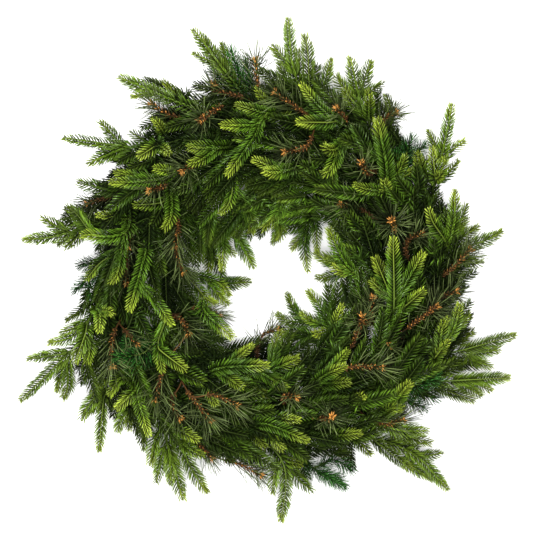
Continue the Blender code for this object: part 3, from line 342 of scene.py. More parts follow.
# Further shoots read off the photograph between the front ones: start, end and level
FILLING_LIGHT = 0.95
FILLING_SHOOTS = (
    (92, 345, 76, 374, 0.45), (92, 215, 60, 218, 0.4), (98, 219, 58, 224, 0.5), (128, 232, 92, 220, 0.5),
    (118, 385, 113, 420, 0.45), (100, 350, 80, 384, 0.5), (445, 362, 482, 366, 0.45),
    (306, 100, 318, 62, 0.55), (188, 98, 140, 79, 0.55), (340, 425, 353, 470, 0.5),
    (420, 192, 427, 155, 0.55), (445, 280, 477, 257, 0.5), (126, 160, 98, 149, 0.5),
    (385, 442, 420, 449, 0.45), (330, 344, 288, 328, 0.55), (256, 205, 248, 240, 0.55),
    (300, 450, 308, 482, 0.45), (372, 116, 378, 88, 0.6), (96, 210, 64, 211, 0.45),
    (215, 225, 211, 262, 0.5), (440, 292, 477, 271, 0.5), (212, 252, 224, 280, 0.55),
    (305, 340, 276, 329, 0.5), (272, 208, 258, 239, 0.55), (425, 222, 440, 192, 0.6),
    (150, 176, 124, 160, 0.6))

# Bare scaly twigs that show between the shoots: start, end and level
TWIG_RISE = 0.64
BARE_TWIGS = ((402, 332, 437, 306, 0.93), (351, 347, 364, 317, 0.95), (220, 106, 201, 120, 0.93))

# Light that needles take up: near their roots, on the stem's underside and deep in the wreath they
# are darker, from nothing below the first share of the dome's height to all of it above the second.
# Between two radii, the foliage at the rim and at the hole gets lighter and younger.
ROOT_LIGHT = 0.12
SIDE_LIGHT = 0.66
LEAST_FACING = 0.08
DEEP_LIGHT = 0.03
LIT_DEPTHS = (0.38, 0.80)
RIM_LIGHT = 0.22
RIM_RADII = (0.200, 0.250)
RIM_YOUNG = 0.17
HOLE_LIGHT = 0.20
HOLE_RADII = (0.125, 0.080)
HOLE_LEAST = 0.36

# Colours. Needles: old, new and youngest. Stems: two that mix in patches, and the youngest. Scales:
# at their roots, at their ends, and the newest.
SPRUCE_GREENS = ((0.032, 0.078, 0.008, 1), (0.184, 0.370, 0.022, 1), (0.67, 0.83, 0.08, 1))
FIR_GREENS = ((0.013, 0.075, 0.009, 1), (0.050, 0.215, 0.026, 1), (0.10, 0.24, 0.05, 1))
PINE_GREENS = ((0.085, 0.125, 0.035, 1), (0.24, 0.31, 0.10, 1), (0.12, 0.15, 0.05, 1))
STEM_GREENS = ((0.04, 0.07, 0.012, 1), (0.09, 0.135, 0.02, 1), (0.16, 0.21, 0.02, 1))
STEM_BROWNS = ((0.05, 0.022, 0.008, 1), (0.095, 0.045, 0.013, 1), (0.2, 0.1, 0.03, 1))
SCALE_BROWNS = ((0.045, 0.019, 0.005, 1), (0.44, 0.185, 0.033, 1), (0.66, 0.30, 0.06, 1))
WIRE_GREENS = ((0.012, 0.045, 0.02, 1), (0.03, 0.085, 0.04, 1))
FLOOR_WHITES = ((0.86, 0.86, 0.86, 1), (0.9, 0.9, 0.9, 1))
NEEDLE_SHADOW, STEM_SHADOW = 0.04, 0.2

# Painted highlight: pale glints on the lit needles, which start at a share of their noise and grow steeply;
# and the needles' gloss
PAINTED_GLINT = (0.36, 0.50, 0.24, 1)
GLINT_SCALE, GLINT_DETAIL = 38.0, 3.0
GLINT_START, GLINT_STEEPNESS, GLINT_MOST = 0.56, 6, 0.32
PATCH_SCALE, STEM_SCALE, WIRE_SCALE, WIRE_DETAIL, FLOOR_SCALE = 55.0, 140.0, 90.0, 4.0, 3.0
SHEEN = 0.05
GLOSS_STEEPNESS, GLOSS_LESS = 5, 2.4
PINE_COAT = 0.4
COAT_ROUGHNESS = 0.25
COAT_IOR = 1.85

# Floor, camera and light: each lamp's name, place, size in metres and power in watts
FLOOR_HALF = 6.0
SENSOR_WIDTH = 36.0
LAMPS = (("overhead", (0.1, -0.1, 2.6), 1.2, 147), ("window", (-1.5, 1.6, 1.9), 1.0, 101))
LAMP_TARGET = (0, 0, 0.05)
WORLD_COLOUR = (1.0, 0.99, 0.93, 1)
WORLD_STRENGTH = 0.35

# Finer ring: round rails and ties, each closed
RAIL_RADIUS = 0.0022
RAIL_STEPS = 160
RAIL_SIDES = 12
TIE_COUNT = 8
TIE_FIRST_CLOCK = 4.0
TIE_RADIUS = 0.0014
TIE_POINTS = 5


def bunches():
    """Every bunch of the wreath, named by its foliage and its place in the table."""
    found = []
    for foliage, rows in (("spruce", SPRUCE_BUNCHES), ("fir", FIR_BUNCHES), ("pine", PINE_BUNCHES)):
        for number, (clock, rail, shoots) in enumerate(rows, start=1):
            found.append(Bunch(f"{foliage}_bunch_{number:02d}", foliage, clock, rail, shoots))
    return found


def place(x, y, height):
    """Where a thing at this height stands, in metres from the ring's middle, to show at a pixel."""
    nearness = (EYE_HEIGHT - height) / (EYE_HEIGHT - SCALE_HEIGHT)
    across = (x - CENTRE_PIXEL[0]) * PIXEL * nearness
    up = (CENTRE_PIXEL[1] - y) * PIXEL * nearness
    return np.array((across, up, height))


def polar(x, y):
    """A pixel's distance from the ring's middle, in pixels, and its angle as seen, in radians."""
    across, up = x - CENTRE_PIXEL[0], CENTRE_PIXEL[1] - y
    return math.hypot(across, up), math.atan2(up, across)


def crown(radius):
    """Height of the wreath's rounded front at a radius: a parabola across the ring's band."""
    return DOME_HEIGHT * (1 - ((radius - DOME_RADIUS) / DOME_SPREAD) ** 2)


def dome(x, y):
    """Height of the rounded front over a pixel."""
    return crown(PIXEL * polar(x, y)[0])


def unit(vector):
    """The same direction at length one."""
    return vector / max(np.linalg.norm(vector), 1e-9)


def arc(start, start_way, end, end_way):
    """A cubic from start to end that leaves and arrives along two directions."""
    reach = np.linalg.norm(end - start)
    t = np.linspace(0, 1, ARC_POINTS)[:, None]
    a, b = start_way * reach, end_way * reach
    return ((2 * t**3 - 3 * t**2 + 1) * start + (t**3 - 2 * t**2 + t) * a
            + (3 * t**2 - 2 * t**3) * end + (t**3 - t**2) * b)


def distances(line):
    """How far along the line each of its points lies."""
    return np.concatenate(([0], np.cumsum(np.linalg.norm(np.diff(line, axis=0), axis=1))))


def even(points):
    """The same line with its points an even distance apart."""
    along = distances(points)
    count = max(3, int(round(along[-1] / PATH_STEP)) + 1)
    wanted = np.linspace(0, along[-1], count)
    return np.stack([np.interp(wanted, along, points[:, k]) for k in range(3)], axis=1)


def root_place(bunch):
    """Top of the rail where the bunch's stem crosses it, with the way off it and the way round.

    A rail is a ring of straight runs, so between its corners it lies a little nearer the middle.
    """
    angle = math.radians(bunch.clock)
    out = np.array((math.cos(angle), math.sin(angle), 0))
    around = np.array((-math.sin(angle), math.cos(angle), 0))
    half_run = math.pi / RING_SEGMENTS
    from_corner = angle % (2 * half_run)
    radius = bunch.rail * math.cos(half_run) / math.cos(from_corner - half_run)
    top = out * radius + np.array((0, 0, 2 * WIRE_FLAT + SEAT_GAP + STEM_RADIUS))
    side = 1 if bunch.rail == OUTER_RAIL else -1
    return top, out * side, around


def fork_and_end(shoot, rise=FORK_FRONT):
    """The two places that a shoot passes: where it leaves the bunch and where it ends."""
    fork_x, fork_y, end_x, end_y, front = shoot
    fork_height = max(rise * front * dome(fork_x, fork_y), LOWEST_SHOOT)
    end_height = max(front * dome(end_x, end_y), LOWEST_SHOOT)
    return place(fork_x, fork_y, fork_height), place(end_x, end_y, end_height)


def grow(bunch):
    """The middle lines of a bunch: the first from the rail, each other from the nearest before it."""
    top, out, around = root_place(bunch)
    lines = []
    joints = []
    for number, shoot in enumerate(bunch.shoots):
        fork, end = fork_and_end(shoot)
        way = unit(end - fork)
        if number == 0:
            leave = unit(LEAVE_OUT * out + LEAVE_ROUND * around + np.array((0, 0, LEAVE_UP)))
            turn = unit(unit(end - top) + way)
            line = np.concatenate((arc(top, leave, fork, turn), arc(fork, turn, end, way)[1:]))
            joints.append((0, 0))
        else:
            parent, at = best_fork(lines, fork - way * FORK_BACK, end)
            start = lines[parent][at]
            along = unit(lines[parent][at + 1] - lines[parent][at - 1])
            ahead = np.dot(unit(fork - start), way) > FORK_AHEAD
            if ahead and np.linalg.norm(fork - start) > FORK_BACK / 2:
                turn = unit(unit(end - start) + way)
                line = np.concatenate((arc(start, unit(along + unit(fork - start)), fork, turn),
                                       arc(fork, turn, end, way)[1:]))
            else:
                line = arc(start, unit(along + unit(end - start)), end, way)
            joints.append((parent, at))
        lines.append(even(line))
    return lines, joints


def best_fork(lines, behind, end):
    """Which line a shoot leaves, and where: near the place behind it, and at a forward angle."""
    choices = []
    for index, line in enumerate(lines):
        inner = slice(2, len(line) - 2)
        ways = np.gradient(line, axis=0)[inner]
        ways /= np.linalg.norm(ways, axis=1)[:, None]
        onward = end - line[inner]
        onward /= np.linalg.norm(onward, axis=1)[:, None]
        cost = np.linalg.norm(line[inner] - behind, axis=1)
        cost += FORK_TURN_COST * (1 - np.einsum("ij,ij->i", ways, onward))
        choices.append((cost.min(), index, int(np.argmin(cost)) + 2))
    _, parent, at = min(choices)
    return parent, at


def settle(all_lines, all_joints):
    """Push the middle lines of different bunches apart until they pass clear of each other.

    Neighbours push each other mostly up and down. A push fades evenly along a shoot, a root on
    its rail stays, and a fork moves with the line that it leaves.
    """
    places = np.concatenate([line for lines in all_lines for line in lines])
    owner = np.concatenate([np.full(len(line), number)
                            for number, lines in enumerate(all_lines) for line in lines])
    spans = {}
    cursor = 0
    for number, lines in enumerate(all_lines):
        for index, line in enumerate(lines):
            spans[number, index] = slice(cursor, cursor + len(line))
            cursor += len(line)
    free = np.ones(len(places))
    for number in range(len(all_lines)):
        first = spans[number, 0].start
        free[first:first + len(ROOT_FREEDOM)] = ROOT_FREEDOM
    moved = np.zeros_like(places)
    for turn in range(SETTLE_ROUNDS):
        now = places + moved
        if turn % ROUNDS_PER_SEARCH == 0:
            one, two = close_pairs(now, owner, SEARCH_REACH)
        apart = now[one] - now[two]
        short = np.maximum(CORE_CLEARANCE - np.linalg.norm(apart, axis=1), 0)
        apart *= PUSH_WEIGHTS
        apart[:, 2] += np.where(apart[:, 2] >= 0, 1e-5, -1e-5)
        push = apart / np.linalg.norm(apart, axis=1)[:, None] * short[:, None]
        share = free[one] / np.maximum(free[one] + free[two], 1e-6)
        total = np.zeros_like(places)
        count = np.full(len(places), 1e-6)
        np.add.at(total, one, push * share[:, None])
        np.add.at(total, two, -push * (1 - share)[:, None])
        np.add.at(count, one, short > 0)
        np.add.at(count, two, short > 0)
        moved += total / count[:, None]
        for (number, index), span in spans.items():
            if index:
                parent, at = all_joints[number][index]
                moved[span.start] = moved[spans[number, parent].start + at]
            row = moved[span]
            row[1:-1] += SMOOTHING * free[span][1:-1, None] * (row[:-2] + row[2:] - 2 * row[1:-1])
        lowest = np.where(free == 1, LOWEST_SHOOT, 0)
        moved[:, 2] = np.maximum(moved[:, 2], lowest - places[:, 2])
    places += moved
    return [[places[spans[number, index]] for index in range(len(lines))]
            for number, lines in enumerate(all_lines)]


def close_pairs(places, owner, reach):
    """Indices of the pairs of places of different bunches that are nearer than a reach."""
    ones, twos = [], []
    for first in range(0, len(places), SEARCH_BLOCK):
        block = slice(first, first + SEARCH_BLOCK)
        gaps = np.linalg.norm(places[block, None] - places[None], axis=2)
        near = (gaps < reach) & (owner[block, None] < owner[None])
        one, two = np.nonzero(near)
        ones.append(one + first)
        twos.append(two)
    return np.concatenate(ones), np.concatenate(twos)


def units(vectors):
    """The same directions at length one."""
    return vectors / np.maximum(np.linalg.norm(vectors, axis=-1, keepdims=True), 1e-9)


def stations(line, along):
    """Middle, direction, level side and upward way at distances along a line.

    The side is direction x vertical, so it lies level, and up is side x direction.
    """
    lengths = distances(line)
    directions = units(np.gradient(line, axis=0))
    middle = np.stack([np.interp(along, lengths, line[:, k]) for k in range(3)], axis=-1)
    ahead = units(np.stack([np.interp(along, lengths, directions[:, k]) for k in range(3)], axis=-1))
    side = units(np.cross(ahead, (1e-4, 0.0, 1.0)))
    return middle, ahead, side, np.cross(side, ahead)


def band(x, y):
    """A pixel's radius and angle from the ring's middle, and the body's edges at that angle.

    Between its readings every 15 degrees, an edge runs evenly.
    """
    radius, angle = polar(x, y)
    turns = np.arange(len(BODY_INNER) + 1) * 360 / len(BODY_INNER)
    low, high = (np.interp(math.degrees(angle) % 360, turns, (*edge, edge[0]))
                 for edge in (BODY_INNER, BODY_OUTER))
    return radius, angle, low, high


def in_body(x, y, margin):
    """True where a pixel lies on the wreath's dense body, this far inside its edges, and off the gaps."""
    radius, _, low, high = band(x, y)
    clear = all(math.hypot(x - gap_x, y - gap_y) > size + margin for gap_x, gap_y, size in TABLE_GAPS)
    return clear and low + margin < radius < high - margin


class Fork:
    """The settled lines as places that further shoots can leave, each with its way and its bunch."""

    def __init__(self, all_lines):
        lines = [(number, line) for number, bunch_lines in enumerate(all_lines) for line in bunch_lines]
        self.owners = np.concatenate([np.full(len(line) - 4, number) for number, line in lines])
        self.places = np.concatenate([line[2:-2] for _, line in lines])
        self.ahead = np.concatenate([units(np.gradient(line, axis=0))[2:-2] for _, line in lines])

    def shoot(self, reading, rise=FORK_FRONT):
        """A line that leaves the nearest place behind its start and runs on to its end, with its bunch.

        Its reading is start x, start y, end x, end y and level.
        """
        start, end = fork_and_end(reading, rise)
        way = unit(end - start)
        cost = np.linalg.norm(self.places - start, axis=1) + FORK_TURN_COST * (1 - self.ahead @ way)
        nearest = int(np.argmin(cost))
        leaving = unit(self.ahead[nearest] + unit(start - self.places[nearest]))
        line = arc(self.places[nearest], leaving, start, way)
        return self.owners[nearest], even(np.concatenate((line[:-1], arc(start, way, end, way))))


def front_places(rows, all_lines, twig_lines):
    """Places that the front shoots cover, and places on pine twigs, which inner shoots pass beneath."""
    covered = []
    twigs = [line[-TWIG_NODES:] for line in twig_lines]
    for bunch, lines in zip(rows, all_lines):
        if bunch.foliage == "pine":
            twigs += [line[-TWIG_NODES:] for line in lines]
        else:
            covered += [lines[0][LEAFLESS_LEAD:]] + [line[LEAFLESS_SIDE:] for line in lines[1:]]
    return np.concatenate(covered), np.concatenate(twigs)


def drawn_reading(draw, size, covered, twigs):
    """An inner shoot through a drawn place, as start, end and level, or None where it has no room.

    There is room on the body, further than the spacing from every covered place as seen from the
    front. The shoot points round the ring, and outwards or inwards near the edges.
    """
    x, y = draw.uniform(*UNDER_BOUNDS, 2)
    if not in_body(x, y, UNDER_MARGIN):
        return None
    level = draw.uniform(*UNDER_LEVELS)
    middle = place(x, y, max(level * dome(x, y), LOWEST_SHOOT))
    if (np.hypot(*(covered - middle)[:, :2].T) < UNDER_SPACING).any():
        return None
    over = twigs[np.hypot(*(twigs - middle)[:, :2].T) < TWIG_CLEAR, 2]
    if len(over):
        level = min(level, max(over.min() - TWIG_DROP, LOWEST_SHOOT) / dome(x, y))
    radius, angle, low, high = band(x, y)
    outwards = 2 * (radius - low) / (high - low) - 1
    fan = UNDER_FAN * outwards + draw.uniform(-UNDER_STRAY, UNDER_STRAY)
    heading = angle + math.pi / 2 - math.radians(fan)
    half = draw.uniform(*UNDER_PIXELS) * size / 2
    across, down = half * math.cos(heading), -half * math.sin(heading)
    if not in_body(x + across, y + down, END_MARGIN):
        return None
    return x - across, y - down, x + across, y + down, level


def low_readings(draw):
    """Low shoots that stand out all round the ring and hide it from the side, as start, end and level."""
    found = []
    steps = np.arange(LOW_COUNT) + draw.uniform(-LOW_STRAY, LOW_STRAY, LOW_COUNT)
    for turn in 2 * np.pi * steps / LOW_COUNT:
        ends = []
        for radius, angle in zip(LOW_RADII, (turn, turn + LOW_LEAD)):
            ends += [CENTRE_PIXEL[0] + radius * math.cos(angle), CENTRE_PIXEL[1] - radius * math.sin(angle)]
        if in_body(*ends[2:], END_MARGIN):
            found.append((*ends, LOW_LEVEL))
    return found


def under_shoots(rows, all_lines, fork, twig_lines):
    """Shoots that fill the body round the front ones, each as its bunch's number, line and level.

    First come those read off the photograph, then drawn ones, shorter from try to try, each of
    which covers its own place in turn, and last the low ones.
    """
    draw = np.random.default_rng(UNDER_SEED)
    covered, twigs = front_places(rows, all_lines, twig_lines)
    found = []
    for reading in FILLING_SHOOTS:
        owner, line = fork.shoot(reading)
        covered = np.concatenate((covered, line[-COVER_NODES:]))
        found.append((owner, line, FILLING_LIGHT))
    for attempt in range(UNDER_TRIES):
        reading = drawn_reading(draw, 1 - UNDER_SHRINK * attempt / UNDER_TRIES, covered, twigs)
        if reading:
            owner, line = fork.shoot(reading)
            covered = np.concatenate((covered, line[-COVER_NODES:]))
            found.append((owner, line, reading[-1]))
    for reading in low_readings(draw):
        found.append((*fork.shoot(reading), reading[-1]))
    return found


class Heap:
    """Corners and triangles gathered for one mesh: each triangle has a finish and each corner three shades.

    young is 0 on old growth and 1 on the newest, tone is a free shade, and light is what it takes up.
    """

    def __init__(self):
        self.corners, self.triangles, self.finishes = [], [], []
        self.shades = {"young": [], "tone": [], "light": []}
        self.count = 0

    def add(self, corners, triangles, finish, **shades):
        self.corners.append(corners)
        self.triangles.append(triangles + self.count)
        self.finishes.append(np.full(len(triangles), finish))
        for label, value in shades.items():
            self.shades[label].append(np.broadcast_to(value, len(corners)))
        self.count += len(corners)

    def piece(self, name, finishes):
        """The gathered mesh as one object at the origin."""
        corners = np.concatenate(self.corners)
        triangles = np.concatenate(self.triangles)
        mesh = bpy.data.meshes.new(name)
        mesh.vertices.add(len(corners))
        mesh.vertices.foreach_set("co", corners.astype(np.float32).ravel())
        mesh.loops.add(triangles.size)
        mesh.loops.foreach_set("vertex_index", triangles.astype(np.int32).ravel())
        mesh.polygons.add(len(triangles))
        mesh.polygons.foreach_set("loop_start", np.arange(0, triangles.size, 3, dtype=np.int32))
        used, place_in_list = np.unique(np.concatenate(self.finishes), return_inverse=True)
        mesh.polygons.foreach_set("material_index", place_in_list.astype(np.int32))
        mesh.polygons.foreach_set("use_smooth", np.ones(len(triangles), dtype=bool))
        for label, values in self.shades.items():
            shade = mesh.attributes.new(label, "FLOAT", "POINT")
            shade.data.foreach_set("value", np.concatenate(values).astype(np.float32))
        for index in used:
            mesh.materials.append(finishes[index])
        mesh.update(calc_edges=True)
        piece = bpy.data.objects.new(name, mesh)
        bpy.context.scene.collection.objects.link(piece)
        return piece


def ring_triangles(rings, sides):
    """Triangles between each ring of corners and the next, facing outwards."""
    ring, corner = np.meshgrid(np.arange(rings - 1), np.arange(sides), indexing="ij")
    low = (ring * sides + corner).ravel()
    low_next = (ring * sides + (corner + 1) % sides).ravel()
    high, high_next = low + sides, low_next + sides
    return np.concatenate((np.stack((low, low_next, high_next), 1), np.stack((low, high_next, high), 1)))


def tube(line, radii, sides=STEM_SIDES):
    """A round stem: corner k of ring i lies at middle_i + radius_i*(cos(a_k)*side_i + sin(a_k)*up_i).

    Both ends close in a middle corner of their own.
    """
    middle, _, side, up = stations(line, distances(line))
    angle = 2 * np.pi * np.arange(sides) / sides
    spread = np.cos(angle)[:, None] * up[:, None] + np.sin(angle)[:, None] * side[:, None]
    rings = (middle[:, None] + radii[:, None, None] * spread).reshape(-1, 3)
    last = (len(line) - 1) * sides
    corner = np.arange(sides)
    follow = (corner + 1) % sides
    ends = np.full(sides, len(rings)), np.full(sides, len(rings) + 1)
    caps = np.concatenate((np.stack((follow, corner, ends[0]), 1),
                           np.stack((last + corner, last + follow, ends[1]), 1)))
    corners = np.concatenate((rings, middle[:1], middle[-1:]))
    return corners, np.concatenate((ring_triangles(len(line), sides), caps))


def spikes(feet, ways, wides, bends, lengths, sizes, growth):
    """Pointed needles, all as whole arrays.

    Each is a profile carried along a curve. Corner k of ring r lies at
    foot + length*(t*way + t^2*bend) + width*p*cos(a)*wide + thickness*p*sin(a)*high, with t and p the
    ring's step and profile, a the corner's angle and high = way x wide. The last ring ends in a point
    at t = 1, and the first is closed.
    """
    steps, profile = np.array(growth.steps), np.array(growth.profile)
    sides, count = growth.sides, len(feet)
    angle = 2 * np.pi * np.arange(sides) / sides
    high = np.cross(ways, wides)
    reach = lengths[:, None] * steps
    middle = feet[:, None] + reach[..., None] * (ways[:, None] + steps[:, None] * bends[:, None])
    half = sizes[:, None, None, None] * profile[:, None, None] / 2
    rings = (middle[:, :, None] + half * growth.width * np.cos(angle)[:, None] * wides[:, None, None]
             + half * growth.thickness * np.sin(angle)[:, None] * high[:, None, None])
    points = feet + lengths[:, None] * (ways + bends)
    corners = np.concatenate((rings.reshape(count, -1, 3), points[:, None]), axis=1)
    corner = np.arange(sides)
    last = (len(steps) - 1) * sides
    tip = np.stack((last + corner, last + (corner + 1) % sides, np.full(sides, len(steps) * sides)), 1)
    base = np.stack((np.full(sides - 2, sides - 1), corner[1:-1][::-1], corner[:-2][::-1]), 1)
    pattern = np.concatenate((ring_triangles(len(steps), sides), tip, base))
    triangles = pattern[None] + (np.arange(count) * corners.shape[1])[:, None, None]
    return corners.reshape(-1, 3), triangles.reshape(-1, 3), corners.shape[1]


def places_along(growth, begin, end, draw):
    """Distances and turns, in radians, at which needles stand between two places along a stem.

    In rows, needle k of a row stands at begin + (k + phase)*pitch; in a spiral, needle k stands at
    begin + k*pitch, turned by k golden turns.
    """
    number = np.arange(max(1, int((end - begin) / growth.pitch)))
    if growth.rows is None:
        along = begin + number * growth.pitch
        turn = number * GOLDEN_TURN
    else:
        turns, phases = np.array(growth.rows, dtype=float).T
        along = (begin + (number[:, None] + phases) * growth.pitch).ravel()
        turn = np.broadcast_to(turns, (len(number), len(turns))).ravel()
    along = along + draw.uniform(-ALONG_STRAY, ALONG_STRAY, len(along)) * min(growth.pitch, ALONG_LIMIT)
    turn = turn + draw.uniform(-TURN_STRAY, TURN_STRAY, len(turn))
    return np.clip(along, begin, end), np.radians(turn)


def grow_needles(sprig, growth, begin, end, finish, shade):
    """Needles along a shoot between two distances from its start.

    A needle's way is cos(lean)*ahead + sin(lean)*outward, where the lean falls and the length
    shrinks within the zone before the point. It bends back along the stem by its curl.
    """
    draw = sprig.draw
    along, turn = places_along(growth, begin, end, draw)
    count = len(along)
    middle, ahead, side, up = stations(sprig.line, along)
    turn = turn + shade.roll
    outward = np.cos(turn)[:, None] * side + np.sin(turn)[:, None] * up
    crosswise = np.cross(outward, ahead)
    left = np.clip((sprig.total - along) / growth.point_zone, 0, 1) ** POINT_EASING
    lean = np.radians(growth.point_lean + (growth.lean - growth.point_lean) * left
                      + draw.uniform(-1, 1, count) * growth.lean_spread)
    swing = draw.uniform(-SWING_STRAY, SWING_STRAY, count)[:, None]
    ways = units(np.cos(lean)[:, None] * ahead + np.sin(lean)[:, None] * outward + swing * crosswise)
    shared = np.einsum("ij,ij->i", ahead, ways)[:, None]
    bends = -growth.curl * units(ahead - ways * shared * CURL_ACROSS)
    lengths = growth.length * shade.length * (growth.point_length + (1 - growth.point_length) * left)
    lengths = lengths * draw.uniform(*LENGTH_STRAY, count)
    sizes = draw.uniform(*SIZE_STRAY, count) * (POINT_SIZE + (1 - POINT_SIZE) * left)
    wides = units(np.cross(outward, ways))
    feet = middle + outward * ROOT_SINK
    corners, triangles, each = spikes(feet, ways, wides, bends, lengths, sizes, growth)
    radius = np.hypot(middle[:, 0], middle[:, 1])
    newest = shade.young * np.clip(1 - (sprig.total - along) / YOUNG_ZONE, 0, 1) ** YOUNG_EASING
    newest = np.maximum(newest, RIM_YOUNG * reached(radius, RIM_RADII))
    tone = np.clip(shade.tone + draw.uniform(-TONE_STRAY, TONE_STRAY, count), 0, 1)
    facing = shade.light * np.clip(SIDE_LIGHT + SIDE_LIGHT * np.sin(turn), LEAST_FACING, 1)
    facing = np.maximum(facing * draw.uniform(*LIGHT_STRAY, count), HOLE_LEAST * reached(radius, HOLE_RADII))
    steps = np.append(np.repeat(growth.steps, growth.sides), 1.0)
    light = facing[:, None] * (ROOT_LIGHT + (1 - ROOT_LIGHT) * steps)
    sprig.heap.add(corners, triangles, finish, young=np.repeat(newest, each), tone=np.repeat(tone, each),
                   light=light.ravel() * depth_light(corners))


def reached(radius, bounds):
    """How far radii have come from a first bound to a second, from 0 to 1."""
    return np.clip((radius - bounds[0]) / (bounds[1] - bounds[0]), 0, 1)


def depth_light(corners):
    """How much light reaches a height: its share of the dome's height there, between two bounds."""
    across, along, height = corners.T
    radius = np.hypot(across, along)
    share = height / np.maximum(crown(radius), LOWEST_SHOOT)
    share = (share - LIT_DEPTHS[0]) / (LIT_DEPTHS[1] - LIT_DEPTHS[0])
    share = share + RIM_LIGHT * reached(radius, RIM_RADII) + HOLE_LIGHT * reached(radius, HOLE_RADII)
    return DEEP_LIGHT + (1 - DEEP_LIGHT) * np.clip(share, 0, 1)


def hooked(bunch, line, shift):
    """The lead's line with the stem's end before it: over the rail and down between the rails."""
    top, out, _ = root_place(bunch)
    top = top + shift
    clear = WIRE_RADIUS + SEAT_GAP + STEM_RADIUS
    up = np.array((0.0, 0.0, 1.0))
    turn = np.linspace(math.pi / 2, 0, HOOK_STEPS)[:, None]
    middle = top - clear * up
    bend = middle - clear * (np.cos(turn) * out - np.sin(turn) * up)
    return np.concatenate((bend[-1:] - clear * HOOK_TAIL * up, bend[::-1][:-1], line))


def grow_stem(heap, line, is_lead, finish, young, light, sides=STEM_SIDES):
    """A shoot's stem, slimmer towards its point, and yellower there where the shoot is young."""
    radii = np.linspace(STEM_RADIUS if is_lead else FORK_RADIUS, STEM_END_RADIUS, len(line))
    corners, triangles = tube(line, radii, sides)
    along = distances(line)
    near_point = np.clip(1 - (along[-1] - along) / (3 * YOUNG_ZONE), 0, 1)
    rings = np.concatenate((np.repeat(near_point, sides), near_point[[0, -1]]))
    heap.add(corners, triangles, finish, young=young * rings, tone=0.5, light=light * depth_light(corners))


def spruce_shoot(sprig):
    """A moulded tip: level rows of needles, yellow-green where it is newest, with painted shade darkening
    the ones beneath.
    """
    draw, total = sprig.draw, sprig.total
    begin = LEAF_START[sprig.is_lead]
    dense = max(begin, total - DENSE_LENGTH)
    young = SPRUCE_YOUNG_FRONT * sprig.front - SPRUCE_YOUNG_LESS + draw.uniform(*SPRUCE_YOUNG)
    shade = Shade(np.clip(young, SPRUCE_YOUNG_LEAST, 1), draw.uniform(*FREE_TONE),
                  (SPRUCE_LIGHT_BACK + (1 - SPRUCE_LIGHT_BACK) * sprig.front) * draw.uniform(*SPRUCE_LIGHT),
                  draw.uniform(*SPRUCE_ROLL), draw.uniform(*SPRUCE_LENGTH))
    covered = draw.uniform() < TOP_COVERED
    for growth in (SPRUCE_GROWTH, UNDERSIDE_GROWTH, TOP_GROWTH)[:3 if covered else 2]:
        grow_needles(sprig, growth, dense, total - LEAFLESS_END, NEEDLES, shade)
        if dense - begin > 2 * growth.pitch:
            sparse = growth._replace(pitch=growth.pitch * THIN_PITCH)
            grow_needles(sprig, sparse, begin, dense, NEEDLES, shade)
    point = shade._replace(length=1.0)
    grow_needles(sprig, POINT_GROWTH, total - POINT_LEAFY, total - LEAFLESS_END, NEEDLES, point)
    return shade.young


def fir_shoot(sprig):
    """A cut-film tip: flat narrow needles twisted into the stem all round."""
    begin = max(sprig.total - DENSE_LENGTH, LEAF_START[sprig.is_lead])
    shade = Shade(OLD_YOUNG * sprig.draw.uniform(0, 1), sprig.draw.uniform(*FREE_TONE), 1.0, 0.0, 1.0)
    grow_needles(sprig, FIR_GROWTH, begin, sprig.total - LEAFLESS_END, NEEDLES, shade)
    return 0.0


def pine_shoot(sprig):
    """A long-needle twig: a tuft of needles fans out from the end of a scaly brown stem."""
    draw, total = sprig.draw, sprig.total
    shade = Shade(0.0, draw.uniform(*PINE_TONE), 1.0, 0.0, draw.uniform(*PINE_LENGTH))
    bracts = Shade(1.0, BRACT_TONE_SPREAD * shade.tone - BRACT_TONE_LESS, BRACT_LIGHT, 0.0, 1.0)
    for growth, leafy, end, finish, looks in (
            (TUFT_GROWTH, TUFT_LEAFY, TWIG_END, NEEDLES, shade),
            (TWIG_GROWTH, TWIG_LEAFY, TUFT_LEAFY, NEEDLES, shade),
            (SCALE_GROWTH, SCALE_LEAFY, TWIG_END, SCALES, SCALE_SHADE),
            (BRACT_GROWTH, BRACT_LEAFY, BRACT_END, SCALES, bracts)):
        begin = max(total - leafy, TWIG_BARE_SHARE * total)
        grow_needles(sprig, growth, begin, total - end, finish, looks)
    return 0.0


def inner_shoot(sprig):
    """An inner shoot: old growth with fewer, plainer needles, darkened by painted shade that deepens the
    lower it lies.
    """
    draw, level = sprig.draw, sprig.front
    shade = Shade(OLD_YOUNG * draw.uniform(0, 1) * level, draw.uniform(*INNER_TONE),
                  level * (INNER_LIGHT + INNER_LIGHT_MORE * draw.uniform(0, 1) ** INNER_LIGHT_EASING),
                  draw.uniform(*INNER_ROLL), INNER_LENGTH)
    begin = max(INNER_LEAF_START, sprig.total - DENSE_LENGTH)
    grow_needles(sprig, INNER_GROWTH, begin, sprig.total - LEAFLESS_END, INNER_NEEDLES, shade)


def bare_twig(sprig):
    """A scaly brown twig with a few long needles."""
    begin, end = sprig.total - SCALE_LEAFY, sprig.total - TWIG_END
    grow_needles(sprig, SCALE_GROWTH, begin, end, SCALES, BARE_SCALE_SHADE)
    sparse = TWIG_GROWTH._replace(pitch=BARE_TWIG_PITCH)
    grow_needles(sprig, sparse, begin, end, TWIG_NEEDLES, BARE_NEEDLE_SHADE)


# Places of the finishes in a bunch's list
NEEDLES, STEM, INNER_NEEDLES, INNER_STEM, SCALES, TWIG_STEM, TWIG_NEEDLES = range(7)

MAKERS = {"spruce": spruce_shoot, "fir": fir_shoot, "pine": pine_shoot}


